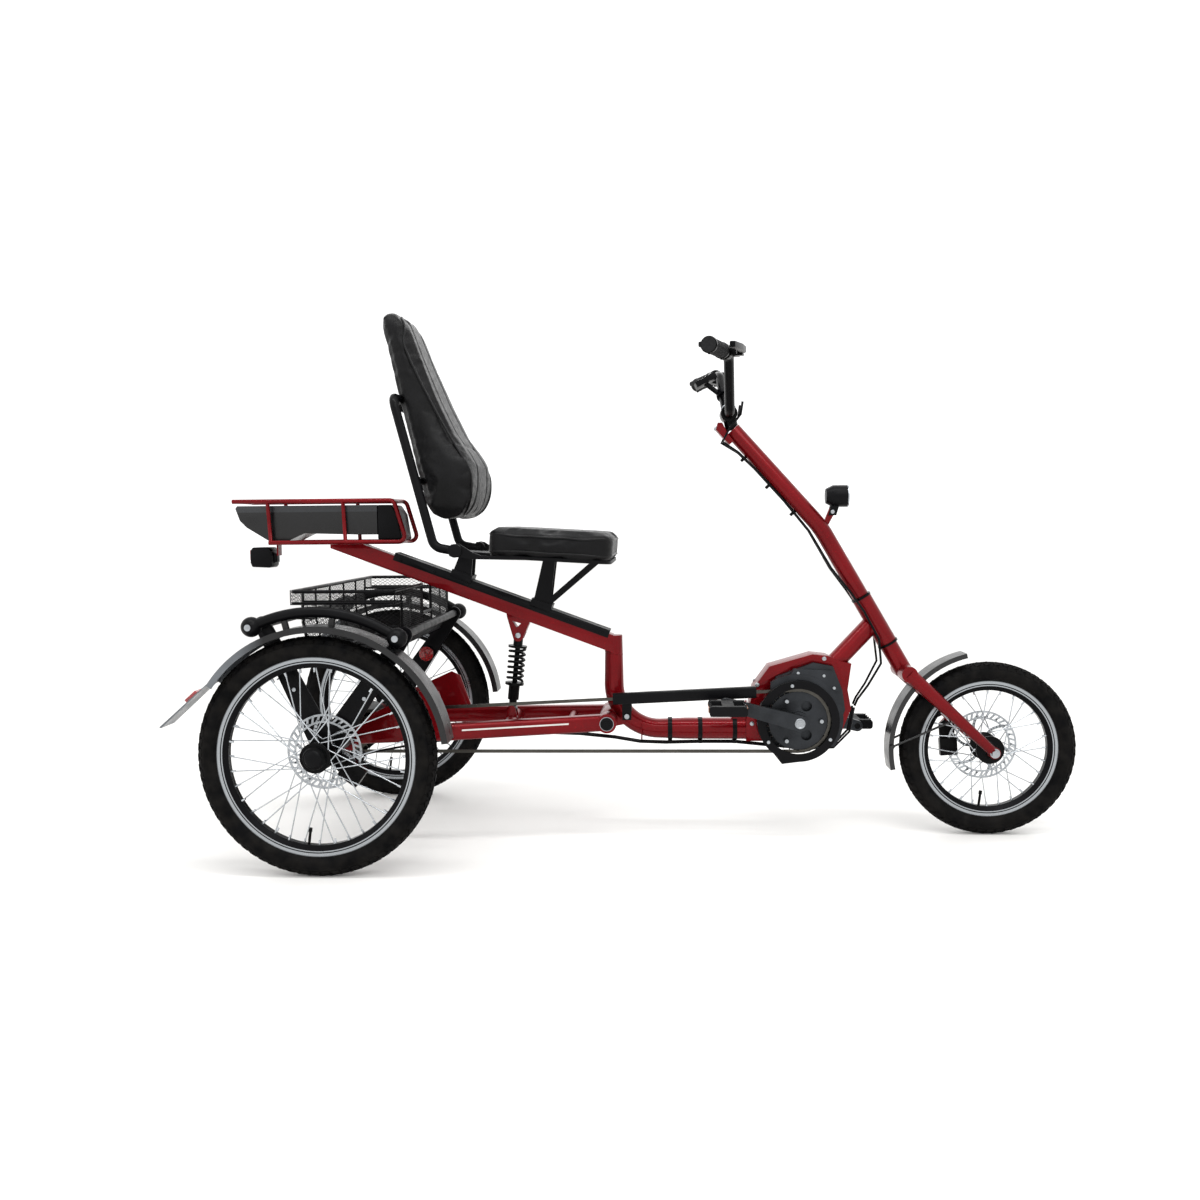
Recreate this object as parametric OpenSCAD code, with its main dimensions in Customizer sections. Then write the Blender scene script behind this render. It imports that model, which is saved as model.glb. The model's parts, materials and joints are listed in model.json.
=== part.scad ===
// Adult tricycle: two 20 inch wheels behind on a sprung swingarm, one 16 inch
// wheel in front, a deep step-through frame, a mid motor with chain drive,
// and an adjustable armchair-style seat. +X is forward, +Y is the rider's left.

/* [Wheels] */
// Distance between the rear axle and the front axle
wheelbase = 1460; // [1250:5:1700]
// Distance between the centre planes of the two rear wheels
track = 690; // [640:5:800]
// Outer diameter of the rear tyres
rear_tyre_d = 500; // [470:5:540]
// Outer diameter of the front tyre
front_tyre_d = 400; // [370:5:420]
// Width of a tyre, which is also its depth down to the bead seat of the rim
tyre_w = 47; // [40:1:52]
// Width of a wheel rim
rim_w = 27; // [22:1:28]
// Diameter of a spoke
spoke_d = 2.6; // [2:0.2:3.4]
// Spokes in a rear wheel
rear_spokes = 36; // [24:4:36]
// Spokes in the front wheel
front_spokes = 28; // [20:4:28]
// Diameter of a brake disc
disc_d = 160; // [140:10:160]
// Thickness of a brake disc
disc_t = 2; // [1.6:0.2:3]

/* [Frame] */
// Diameter of the upright seat tube
seat_tube_d = 40; // [34:1:46]
// Diameter of the low main tube
main_tube_d = 50; // [42:1:54]
// Height of the main tube's centre above the ground
main_tube_z = 245; // [225:5:260]
// Width of the sloping upper beam
beam_w = 43; // [36:1:50]
// Height of the sloping upper beam, square to its length
beam_h = 39; // [30:1:50]
// Slope of the upper beam, down towards the front
beam_slope = 20.25; // [16:0.25:24]
// Outer diameter of the head tube
head_tube_d = 44; // [40:1:50]
// Length of the head tube
head_tube_l = 118; // [100:1:130]
// Angle of the steering axis from the ground
head_angle = 60; // [58:0.5:64]
// Clearance of a running fit, measured on the radius
run_gap = 0.05; // [0.02:0.01:0.1]
// Gap between pieces that only lie together
lie_gap = 0.3; // [0.2:0.05:0.4]

/* [Suspension] */
// Width of a swingarm rail
rail_w = 30; // [24:1:34]
// Height of a swingarm rail
rail_h = 38; // [30:1:44]
// Diameter of the swingarm's pivot bolt
pivot_d = 20; // [14:1:24]
// Diameter of the tube round the rear axle
axle_tube_d = 40; // [34:1:46]
// Outer diameter of the suspension spring
spring_d = 42; // [36:1:50]
// Thickness of the spring wire
spring_wire = 6; // [4:0.5:7]
// Turns of the spring
spring_turns = 6; // [4:1:7]

/* [Steering and handlebar] */
// Diameter of the bent steering column
column_d = 38; // [32:1:40]
// Diameter of the handlebar
bar_d = 22.2; // [22.2:0.2:25.4]
// Distance between the two ends of the handlebar
bar_w = 650; // [560:10:700]
// Rise of the grips above the handlebar clamp
bar_rise = 111; // [60:1:150]

/* [Seat] */
// Width of the seat cushion
seat_w = 380; // [320:5:430]
// Length of the seat cushion
seat_l = 290; // [240:5:330]
// Thickness of the seat cushion
seat_t = 54; // [35:1:70]
// Width of the backrest cushion at its foot
back_w_low = 300; // [250:5:300]
// Width of the backrest cushion at its top
back_w_top = 206; // [160:2:260]
// Diameter of the backrest tube
back_tube_d = 20; // [16:1:24]

/* [Rack and battery] */
// Thickness of the rack's bars
rack_wire = 10; // [8:1:12]
// Distance between the side bars of the rack
rack_w = 124; // [116:1:140]
// Width of the battery
battery_w = 104; // [90:1:106]

/* [Drive] */
// Radius of the chain at the chainring
ring_r = 70; // [60:1:74]
// Radius of the chain at the rear sprocket
cog_r = 46; // [36:1:56]
// Length of a crank arm between its centres
crank_l = 170; // [150:5:175]
// Angle of the near crank arm above the horizontal, pointing back
crank_rise = 15; // [0:1:40]
// Radius of the chain case
case_r = 92; // [88:1:98]

/* [Basket] */
// Width of the basket's rim, over the wheels
basket_rim_w = 640; // [560:5:640]
// Width of the basket's bin, between the wheels
basket_bin_w = 500; // [400:5:520]
// Thickness of the basket's mesh walls
basket_t = 3; // [2:0.5:5]

/* [Hidden] */
$fn = 48;

// ---- Places, measured from the ground below the rear axle ----
rear_r = rear_tyre_d / 2;
front_r = front_tyre_d / 2;
rear_reach = 318;                            // how far the mudguards reach behind the axle
mid_x = (wheelbase + front_r - rear_reach) / 2;
side_y = track / 2;                          // centre plane of a rear wheel
rear_bead_r = rear_r - tyre_w;
front_bead_r = front_r - tyre_w;
front_axle = [wheelbase, 0, front_r];

// Steering axis: it passes the ground steer_trail ahead of the front axle
steer_trail = 28;
axis_dir = [-cos(head_angle), 0, sin(head_angle)];
axis_foot = [wheelbase + steer_trail, 0, 0];
function on_axis(s) = axis_foot + s * axis_dir;
head_top_s = 633;                            // length along the axis to the head tube's top
head_top = on_axis(head_top_s);
head_low = on_axis(head_top_s - head_tube_l);
crown_s = 437;
crown = on_axis(crown_s);

// Column: straight above the head tube, then bent back
column_bend = on_axis(head_top_s + 190);
column_lean = 48;
column_top = column_bend + 300 * [-cos(column_lean), 0, sin(column_lean)];
clamp = column_top + [-9, 0, 36];            // centre of the handlebar clamp

// Frame
seat_tube_x = 600;
seat_tube_top = 465;
main_bend_r = 105;
main_end_x = 925;
pivot = [586, 0, 271];                       // swingarm pivot
shock_top = [377, 0, 466];
shock_low = [359, 0, 290];
crank = [1018, 0, 276];
beam_dir = [cos(beam_slope), 0, -sin(beam_slope)];
beam_up = [sin(beam_slope), 0, cos(beam_slope)];
beam_ref = [275, 0, 586];                    // a point on the beam's top line
function beam_top(x) = beam_ref.z - (x - beam_ref.x) * tan(beam_slope);
function beam_low(x) = beam_top(x) - beam_h / cos(beam_slope);
rack_z = 687;                                // centre height of the rack's lower bars
rack_top_z = 782;
rack_y = rack_w / 2;
rack_rear_x = -270;
rack_front_x = 130;
wedge_z = rack_z - rack_wire / 2 - lie_gap;  // top of the beam's rear end

// Drive line, on the rider's right
chain_y = -72;
cog_axle = [0, 0, rear_r];

// Seat
rail_t = 8;
slide_gap = 0.3;
recline = [262, 0, 668];
back_y = 155;                                // side tubes of the backrest

// Rear carrier parts
bow_r = 299;
bow_d = 22;
bow_ball_d = 42;
bow_front_a = 55;
bow_rear_a = 116;
guard_c = [8, 0, rear_r];                   // centre of a rear mudguard's arc
guard_r = 272;
guard_w = 64;
guard_t = 2.5;
plate_y = 278;                               // inner face of the carrier plates
plate_t = 6;
basket_floor_z = 459;
basket_rim_z = 592;
basket_rear_x = -57;

// ---- Shape helpers ----
function unit(v) = v / norm(v);
function arc(c, r, a0, a1, n) =
    [for (i = [0:n]) let (a = a0 + (a1 - a0) * i / n) [c.x + r * cos(a), c.y + r * sin(a)]];
function xz(p) = [p.x, p.z];
function round_rect(w, h, r) = concat(
    arc([w / 2 - r, h / 2 - r], r, 0, 90, 4), arc([r - w / 2, h / 2 - r], r, 90, 180, 4),
    arc([r - w / 2, r - h / 2], r, 180, 270, 4), arc([w / 2 - r, r - h / 2], r, 270, 360, 4));
function polar(c, r, a) = [c.x + r * cos(a), c.y, c.z + r * sin(a)];

// Puts shapes drawn from the rear axle's foot into the part's own frame
module trike() translate([-mid_x, 0, 0]) children();
module both_sides() { children(); mirror([0, 1, 0]) children(); }
// An outline in X and Z, made thick along Y from y0 to y1
module side_plate(y0, y1) translate([0, y1, 0]) rotate([90, 0, 0]) linear_extrude(y1 - y0) children();
// A round bar along Y through the point p
module across(p, y0, y1, d) translate([p.x, y1, p.z]) rotate([90, 0, 0]) cylinder(d = d, h = y1 - y0);
module turn_to(dir) rotate([0, acos(dir.z), atan2(dir.y, dir.x)]) children();
module rod(a, b, d) translate(a) turn_to(unit(b - a)) cylinder(d = d, h = norm(b - a));
module taper(a, b, d1, d2) translate(a) turn_to(unit(b - a)) cylinder(d1 = d1, d2 = d2, h = norm(b - a));
// A rounded flat bar from a to b, w wide along Y where it can be and h high
module beam(a, b, w, h, r) translate(a) turn_to(unit(b - a)) linear_extrude(norm(b - a))
    polygon(round_rect(h, w, r));
// One bend of a tube at the corner p between the directions u and v
module tube_bend(p, u, v, r, d) {
    turn = acos(u * v);
    n = unit(v - (u * v) * u);
    c = p - u * r * tan(turn / 2) + n * r;
    z = cross(-n, u);
    multmatrix([[-n.x, u.x, z.x, c.x], [-n.y, u.y, z.y, c.y], [-n.z, u.z, z.z, c.z], [0, 0, 0, 1]])
        rotate_extrude(angle = turn, $fn = 96) translate([r, 0]) circle(d = d, $fn = 48);
}
// Points along a path, with each corner rounded to the radius r
function corner(p, u, v, r, steps) = let (turn = acos(u * v), n = unit(v - (u * v) * u),
    c = p - u * r * tan(turn / 2) + n * r)
    [for (i = [0:steps]) c + r * (sin(turn * i / steps) * u - cos(turn * i / steps) * n)];
function rounded_path(p, r, steps = 6) = let (n = len(p), dirs = [for (i = [0:n - 2]) unit(p[i + 1] - p[i])])
    concat([p[0]], [for (i = [1:n - 2]) each corner(p[i], dirs[i - 1], dirs[i], r, steps)], [p[n - 1]]);
// A round tube or cable swept through points as one closed mesh, its rings kept from twisting
function carried(side, dir) = unit(side - (side * dir) * dir);
module swept(p, d, n = 8) {
    m = len(p);
    dirs = [for (i = [0:m - 1]) unit(p[min(i + 1, m - 1)] - p[max(i - 1, 0)])];
    first = carried(abs(dirs[0].y) > 0.7 ? [1, 0, 0] : [0, 1, 0], dirs[0]);
    sides = [for (i = 0, s = first; i < m; i = i + 1, s = carried(s, dirs[min(i, m - 1)])) s];
    rings = [for (i = [0:m - 1], k = [0:n - 1]) p[i] + d / 2 / cos(180 / n)
        * (cos(360 * k / n) * sides[i] + sin(360 * k / n) * cross(dirs[i], sides[i]))];
    polyhedron(rings, concat([[for (k = [0:n - 1]) k]], [[for (k = [n - 1:-1:0]) (m - 1) * n + k]],
        [for (i = [0:m - 2], k = [0:n - 1]) let (a = i * n + k, b = i * n + (k + 1) % n) [a, a + n, b + n, b]]));
}

// ---- Frame ----
module beam_outline() polygon([[-60, wedge_z - 9], [-60, wedge_z],
    [beam_ref.x - (wedge_z - beam_ref.z) / tan(beam_slope), wedge_z],
    [seat_tube_x, beam_top(seat_tube_x)], [seat_tube_x, beam_low(seat_tube_x)]]);
function motor_shape(g) = [[948 - g, 236], [948 - g, 300], [972 - g, 372 + g], [1056, 404 + g],
    [1100 + g, 396 + g], [1122 + g, 340], [1128 + g, 296], [1112 + g, 252]];
module bracket_outline() difference() {
    polygon([[905, main_tube_z - 24], [905, main_tube_z + 24], [922, 345], [958, 394], [1056, 422],
        [1092, 418], [1118, 406], [1144, 400], [1136, 340], [1144, 296], [1124, 246], [1092, 218],
        [1076, 226], [948, main_tube_z - 24]]);
    polygon(concat(motor_shape(0.4), [[1096, 226.5], [1076, 206], [940, 206], [948 - 0.4, 230]]));
}
module main_frame() color("#7a0410") trike() difference() {
    union() {
        side_plate(-beam_w / 2, beam_w / 2) beam_outline();
        // upright seat tube, its forward bend and the low main tube
        translate([seat_tube_x, 0, main_tube_z + main_bend_r])
            cylinder(d1 = seat_tube_d + 5, d2 = seat_tube_d, h = seat_tube_top - main_tube_z - main_bend_r);
        tube_bend([seat_tube_x, 0, main_tube_z], [0, 0, -1], [1, 0, 0], main_bend_r, seat_tube_d + 5);
        translate([seat_tube_x + main_bend_r, 0, main_tube_z]) rotate([0, 90, 0])
            cylinder(d1 = seat_tube_d + 5, d2 = main_tube_d, h = 60);
        translate([seat_tube_x + main_bend_r + 60, 0, main_tube_z]) rotate([0, 90, 0])
            cylinder(d = main_tube_d, h = main_end_x - seat_tube_x - main_bend_r - 60);
        // lug that carries the swingarm
        across(pivot, -46, 46, 44);
        side_plate(-16, 16) polygon([[588, 250], [588, 292], [640, 300], [650, 262]]);
        // shock bracket under the beam
        side_plate(-15, 15) difference() {
            polygon([[350, beam_low(350) + 3], [352, 508], [366, 458], [372, 452], [382, 452],
                [388, 458], [404, 495], [406, beam_low(406) + 3]]);
            polygon([[364, 500], [384, 494], [374, 484]]);
        }
        // motor bracket, its gusset, and the down tube
        side_plate(-32, 32) bracket_outline();
        side_plate(-10, 10) polygon([[868, main_tube_z + 20], [908, main_tube_z + 20], [908, 312], [890, 296]]);
        rod([1112, 0, 400], head_low + 60 * axis_dir + [-10, 0, -14], 42);
        rod(head_low, head_top, head_tube_d);
    }
    rod(head_low - axis_dir, head_top + axis_dir, 34);
    across(pivot, -50, 50, pivot_d + 2 * run_gap);
    side_plate(-11.3, 11.3) translate(xz(shock_top)) circle(r = 19);
    across(shock_top, -20, 20, 10);
}
module rail_at(s, u) translate([beam_ref.x, 0, beam_ref.z] + s * beam_dir + u * beam_up)
    rotate([0, beam_slope, 0]) children();
rail_from = -196;
rail_to = 336;
bolt_pitch = 83;
module seat_rail() color("#202124") trike() {
    rail_at(rail_from, lie_gap) translate([0, -beam_w / 2 - 3.5, 0]) cube([rail_to - rail_from, beam_w + 7, rail_t]);
    both_sides() rail_at(rail_from, -10) translate([0, beam_w / 2 + 0.3, 0])
        cube([rail_to - rail_from, 3.2, 10 + lie_gap]);
    for (i = [0:6]) both_sides() rail_at(rail_from + 15 + i * bolt_pitch, -4.5)
        translate([0, beam_w / 2 + 3.4, 0]) rotate([-90, 0, 0]) cylinder(d = 8, h = 3.5);
}
module rack_side(y) swept(rounded_path([[rack_rear_x - 4, y, rack_top_z], [102, y, rack_top_z],
    [rack_front_x, y, rack_z], [-191, y, rack_z]], 14), rack_wire, 12);
module rear_rack() color("#7a0410") trike() {
    both_sides() rack_side(rack_y);
    both_sides() rod([-186, rack_y, rack_z], [-192, rack_y, rack_top_z], rack_wire - 1);
    both_sides() rod([-12, rack_y, rack_z], [-16, rack_y, rack_top_z], rack_wire - 1);
    for (x = [rack_rear_x, -192, -16, 95])
        rod([x, -rack_y, rack_top_z], [x, rack_y, rack_top_z], rack_wire - 1);
    for (x = [-186, -12, 45, 112]) rod([x, -rack_y, rack_z], [x, rack_y, rack_z], rack_wire - 1);
    // lamp bracket below the rear crossbar
    side_plate(-12, 12) polygon([[-191, rack_z], [-187, rack_z], [-187, 656], [-191, 656]]);
}
battery_front_x = 60;
module battery_outline() polygon(concat([[-272, 766], [-268, 772], [battery_front_x, 772],
    [battery_front_x, 704], [20, 704], [-112, 708], [-146, rack_z + rack_wire / 2 - 0.2], [-196, rack_z + rack_wire / 2 - 0.2],
    [-246, 722], [-262, 738]]));
module battery_pack() color("#17181b") trike() {
    side_plate(-battery_w / 2, battery_w / 2) battery_outline();
    side_plate(-18, 18) polygon([[-276, 752], [-269, 762], [-252, 750], [-264, 738]]);
}
module battery_dock() color("#17181b") trike()
    side_plate(-battery_w / 2, battery_w / 2) polygon([[battery_front_x + lie_gap, rack_z + rack_wire / 2 - 0.2],
        [battery_front_x + lie_gap, 772], [94, 772], [108, 750], [117, rack_z + rack_wire / 2 - 0.2]]);
module rear_lamp() color("#b01018") trike() {
    side_plate(-26, 26) polygon([[-246, 630], [-250, 640], [-250, 668], [-244, 676], [-206, 676],
        [-199, 668], [-199, 634], [-204, 628]]);
    side_plate(-11, 11) polygon([[-199.5, 640], [-199.5, 662], [-191.3, 662], [-191.3, 640]]);
}

// ---- Drive ----
module motor_housing() color("#3a3c40") trike() {
    difference() {
        side_plate(-46, 46) polygon(concat(motor_shape(0), [[1072, 208], [962, 212]]));
        across(crank, -60, 60, 26);
    }
    // round cover on the right, behind the chain case
    difference() {
        across(crank, case_y1 + lie_gap, -45, 208);
        across(crank, -64, -40, 26);
        side_plate(-64, -40) polygon([[crank.x - 60, 100], [crank.x - 120, 100], [crank.x - 120, 400],
            [crank.x - 60, 400]]);
        side_plate(-64, -40) polygon([[crank.x - 120, 100], [crank.x - 120, 214], [crank.x + 120, 214],
            [crank.x + 120, 100]]);
    }
    // side cover with its sloping edge
    side_plate(-58, -46.2) polygon([[crank.x - 20, crank.z + 90], [crank.x - 8, 392], [1098, 388],
        [1118, 344], [crank.x + 72, crank.z + 62]]);
}
chain_h = 7;
module loop_outline(ra, rb) {
    ax = crank.x - cog_axle.x;
    az = crank.z - cog_axle.z;
    lean = atan2(az, ax);
    b = acos((ra - rb) / norm([ax, az]));
    polygon(concat(arc(xz(crank), rb, lean - b, lean + b, 28),
        arc(xz(cog_axle), ra, lean + b, lean + 360 - b, 28)));
}
module chain() color("#8c8f94") trike() side_plate(chain_y - 3.5, chain_y + 3.5) difference() {
    loop_outline(cog_r + chain_h / 2, ring_r + chain_h / 2);
    loop_outline(cog_r - chain_h / 2, ring_r - chain_h / 2);
}
case_y0 = chain_y - 13;
case_y1 = chain_y + 10;
module chain_case() color("#141518") trike() difference() {
    union() {
        difference() {
            across(crank, case_y0, case_y1, 2 * case_r);
            across(crank, case_y0 + 2.5, case_y1 + 1, 2 * case_r - 5);
        }
        side_plate(case_y0, case_y1) polygon([[crank.x - 58, crank.z - 70], [crank.x - 37, crank.z - 97],
            [crank.x + 6, crank.z - 91.5], [crank.x - 10, crank.z - 88], [crank.x - 56, crank.z - 69]]);
    }
    across(crank, case_y0 - 1, case_y1 + 1, 2 * case_r - 36);
    // the ways in for the two runs of chain
    side_plate(chain_y - 7, case_y1 + 1) polygon([[800, 300], [800, 380], [crank.x, 370], [crank.x, 330]]);
    side_plate(chain_y - 7, case_y1 + 1) polygon([[800, 180], [800, 216], [crank.x - 20, 222], [crank.x - 20, 194]]);
}
function chain_top(x) = let (b = acos((cog_r - ring_r) / norm(crank - cog_axle)),
    lean = atan2(crank.z - cog_axle.z, crank.x), n = [cos(lean + b), sin(lean + b)],
    p = [n.x * cog_r, cog_axle.z + n.y * cog_r]) p.y + (x - p.x) * (-n.x / n.y);
module chain_tube() color("#141518") trike() {
    a = [600, chain_y, chain_top(600)];
    b = [924, chain_y, chain_top(924)];
    translate(a) turn_to(unit(b - a)) linear_extrude(norm(b - a)) difference() {
        polygon(round_rect(26, 20, 5));
        polygon(round_rect(18, 13, 3));
    }
    // bolted ear that carries the tube on the frame
    across([631, 0, 284], -66, -(seat_tube_d + 5) / 2 - lie_gap, 14);
    side_plate(-66, -62.2) polygon([[620, chain_top(620) - 12.6], [621, 276], [641, 276],
        [643, chain_top(643) - 12.6]]);
}
module drive_sprocket() color("#9a9da2") trike() difference() {
    union() {
        across(cog_axle, chain_y - 2, chain_y + 2, 2 * (cog_r - chain_h / 2 - lie_gap));
        across(cog_axle, chain_y - 12, chain_y + 12, axle_tube_d + 16);
    }
    across(cog_axle, chain_y - 13, chain_y + 13, axle_tube_d + 2 * run_gap);
}
arm_y = 106;                                 // centre plane of a crank arm
near_dir = [-cos(crank_rise), 0, sin(crank_rise)];
module crank_arm(dir, y0, y1) side_plate(y0, y1) difference() {
    hull() {
        translate(xz(crank)) circle(d = 36, $fn = 32);
        translate(xz(crank + crank_l * dir)) circle(d = 26, $fn = 32);
    }
    translate(xz(crank + crank_l * dir)) circle(d = 14 + 2 * run_gap, $fn = 48);
}
module crankset() color("#1b1c1f") trike() {
    crank_arm(near_dir, -arm_y - 8, -arm_y + 8);
    crank_arm(-near_dir, arm_y - 8, arm_y + 8);
    across(crank, -arm_y - 4, arm_y + 4, 24);
    // chainring, three-armed spider and its bolts
    side_plate(chain_y - 2, chain_y + 2) difference() {
        translate(xz(crank)) circle(r = ring_r - chain_h / 2 - lie_gap, $fn = 72);
        for (a = [60:120:300]) translate(xz(polar(crank, 38, a))) circle(d = 24, $fn = 32);
    }
    across(crank, -90, chain_y + 1, 44);
    for (a = [0:120:240]) across(polar(crank, 52, a), -83, chain_y + 1, 12);
}
module pedal_body(y0, y1) difference() {
    side_plate(y0, y1) polygon(round_rect(82, 22, 7));
    for (sx = [-1, 1]) translate([sx * 24 - 11, y0 + 16, -20]) cube([22, y1 - y0 - 32, 40]);
}
module pedal(dir, side) translate(crank + crank_l * dir) {
    mirror([0, side < 0 ? 1 : 0, 0]) {
        pedal_body(arm_y + 14, arm_y + 108);
        rotate([-90, 0, 0]) translate([0, 0, arm_y - 7]) cylinder(d = 14, h = 24);
    }
}
module pedal_right() color("#26272b") trike() pedal(near_dir, -1);
module pedal_left() color("#26272b") trike() pedal(-near_dir, 1);

// ---- Rear suspension and carrier ----
rail_front_y = 67;
rail_rear_y = 118;
rail_knee = [240, 0, 259];
rail_end = [34, 0, 252];
module swingarm() color("#7a0410") trike() difference() {
    union() {
        both_sides() {
            beam(pivot + [4, rail_front_y, 0], rail_knee + [0, rail_rear_y, 0], rail_w, rail_h, 9);
            beam(rail_knee + [6, rail_rear_y, 0], rail_end + [0, rail_rear_y + 6, 0], rail_w, rail_h, 9);
            across(pivot, 46.3, 88, 44);
            across(cog_axle, rail_rear_y - 12, rail_rear_y + 24, 66);
            // gusset that rises from the rail towards the carrier
            side_plate(rail_rear_y + 14, rail_rear_y + 20) polygon([[242, 268], [212, 352], [190, 362],
                [62, 304], [20, 266], [20, 236], [200, 242]]);
        }
        rod([359, -100, 263], [359, 100, 263], 30);
        rod([500, -72, 268], [500, 72, 268], 18);
        both_sides() side_plate(11.6, 17) polygon([[346, 266], [350, 296], [359, 303], [368, 296], [373, 266]]);
        across(shock_low, -17, 17, 8);
    }
    both_sides() across(pivot, 40, 92, pivot_d + 2 * run_gap);
    both_sides() across(cog_axle, 60, 160, axle_tube_d + 0.1);
}
module pivot_bolt() color("#1b1c1f") trike() {
    across(pivot, -90, 90, pivot_d);
    both_sides() across(pivot, 88.3, 93, 32);
}
axle_end_y = side_y - 56;
stub_d = 17;
module rear_axle() color("#1b1c1f") trike() {
    across(cog_axle, -axle_end_y, axle_end_y, axle_tube_d);
    across(cog_axle, -side_y - 20, side_y + 20, stub_d);
    // differential case and the collars beside the sprocket
    difference() {
        across(cog_axle, -52, 60, 104);
        across(cog_axle, -58, -44, 60);
    }
    across(cog_axle, -94, -84.3, axle_tube_d + 14);
    across(cog_axle, -59.7, -51, axle_tube_d + 14);
}
caliper_at = [60, 0, -44];
module rear_calipers() color("#2a2b2f") trike() both_sides()
    translate(cog_axle + caliper_at) rotate([0, 36, 0]) difference() {
        translate([-24, plate_y + plate_t + lie_gap, -20])
            cube([48, side_y - 34 - plate_y - plate_t, 42]);
        rotate([0, -36, 0]) across(-caliper_at, disc_at - 1.8 - 0.5 * disc_t,
            disc_at + 1.8 + 0.5 * disc_t, disc_d + 3);
    }
disc_at = side_y - 49;                       // centre plane of a rear brake disc
module guard_profile(r) {
    translate([r - guard_t, -guard_w / 2]) square([guard_t, guard_w]);
    for (y = [-guard_w / 2, guard_w / 2 - guard_t]) translate([r - 13, y]) square([13, guard_t]);
}
guard_front_a = 7;
guard_rear_a = 146;
module mudguard(side) translate([guard_c.x, side * side_y, guard_c.z]) {
    rotate([90, 0, 0]) rotate([0, 0, guard_front_a]) rotate_extrude(angle = guard_rear_a - guard_front_a, $fn = 120)
        guard_profile(guard_r);
    // flap that kicks out behind
    translate([0, guard_w / 2 - 1, 0]) rotate([90, 0, 0]) linear_extrude(guard_w - 2) flap_outline();
    for (a = [84, 104]) translate(polar([0, 0, 0], guard_r - 0.4, a)) turn_to([cos(a), 0, sin(a)])
        cylinder(d = 14, h = bow_foot(a));
}
// Height of a boss between a mudguard and the bow above it
function bow_foot(a) = norm([(bow_r - bow_d / 2) * cos(a) - guard_c.x, (bow_r - bow_d / 2) * sin(a)]) - guard_r - 0.2;
module flap_outline() {
    a = guard_rear_a - 1.5;
    q = [-rear_reach - guard_c.x, 66];
    polygon([(guard_r - 0.4) * [cos(a), sin(a)], q, q + [4, -2], (guard_r - guard_t + 0.4) * [cos(a), sin(a)]]);
}
module mudguard_left() color("#1d1e21") trike() mudguard(1);
module mudguard_right() color("#1d1e21") trike() mudguard(-1);
function bow_point(a, y) = polar(cog_axle, bow_r, a) + [0, y, 0];
module ball(d) rotate_extrude() intersection() {
    circle(d = d);
    translate([0, -d / 2]) square(d);
}
module wheel_bows() color("#141518") trike() {
    both_sides() {
        translate([0, side_y, rear_r]) rotate([90, 0, 0]) rotate([0, 0, bow_front_a])
            rotate_extrude(angle = bow_rear_a - bow_front_a, $fn = 120) translate([bow_r, 0]) circle(d = bow_d);
        for (a = [bow_front_a, bow_rear_a]) translate(bow_point(a, side_y)) rotate([90, 0, 0]) ball(bow_ball_d);
    }
    for (a = [bow_front_a, bow_rear_a]) rod(bow_point(a, -side_y), bow_point(a, side_y), 18);
}
// Carrier plates: a V of two arms up from the axle, and a lug for the caliper
module carrier_arm(a) hull() {
    translate(xz(cog_axle)) circle(d = 56, $fn = 32);
    translate(xz(bow_point(a, 0))) circle(d = 34, $fn = 32);
}
module basket_brackets() color("#141518") trike() both_sides() difference() {
    side_plate(plate_y, plate_y + plate_t) difference() {
        union() {
            carrier_arm(bow_front_a);
            carrier_arm(bow_rear_a);
            hull() {
                translate(xz(cog_axle)) circle(d = 50, $fn = 32);
                translate(xz(cog_axle + caliper_at)) circle(d = 30, $fn = 32);
            }
        }
        for (a = [bow_front_a, bow_rear_a]) translate(xz(bow_point(a, 0))) circle(d = 18.1);
    }
    across(cog_axle, plate_y - 1, plate_y + plate_t + 1, axle_tube_d + 0.1);
}
function basket_front() = bow_point(bow_front_a, 0).x - 9 - lie_gap;
module basket_side(g) polygon([[basket_rear_x + g, basket_rim_z + 1], [basket_front() - g, basket_rim_z + 1],
    [basket_front() - g, basket_floor_z + 40], [basket_front() - 22 - g, basket_floor_z + g],
    [basket_rear_x + 12 + g, basket_floor_z + g], [basket_rear_x + g, basket_floor_z + 60]]);
wing_z = rear_r + bow_r + bow_d / 2 + lie_gap;
module basket() color("#17181b") trike() difference() {
    union() {
        difference() {
            side_plate(-basket_bin_w / 2, basket_bin_w / 2) basket_side(0);
            side_plate(-basket_bin_w / 2 + basket_t, basket_bin_w / 2 - basket_t) basket_side(basket_t);
        }
        // the wings that lie on the wheel bows
        both_sides() difference() {
            translate([basket_rear_x, basket_bin_w / 2 - basket_t, wing_z])
                cube([basket_front() - basket_rear_x, (basket_rim_w - basket_bin_w) / 2 + basket_t, basket_rim_z + 1 - wing_z]);
            translate([basket_rear_x + basket_t, basket_bin_w / 2 - 2 * basket_t, wing_z + basket_t])
                cube([basket_front() - basket_rear_x - 2 * basket_t, (basket_rim_w - basket_bin_w) / 2 + basket_t, 100]);
        }
        // straps from the rear wall to the rear cross tube
        for (y = [-150, 130]) translate([bow_point(bow_rear_a, 0).x + 9 + lie_gap, y, bow_point(bow_rear_a, 0).z - 8])
            cube([basket_rear_x - bow_point(bow_rear_a, 0).x - 8, 20, 16]);
    }
    translate([basket_rear_x - 9, -400, basket_rim_z]) cube([400, 800, 30]);
    // notch in the front wall, which leaves the upper beam free as the swingarm rises
    translate([basket_front() - 50, -46, 520]) cube([80, 92, 100]);
}
flap_start = polar(guard_c, guard_r - 0.4, guard_rear_a - 1.5);
flap_end = [-rear_reach, 0, guard_c.z + 66];
flap_lean = atan2(flap_start.z - flap_end.z, flap_start.x - flap_end.x);
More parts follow.
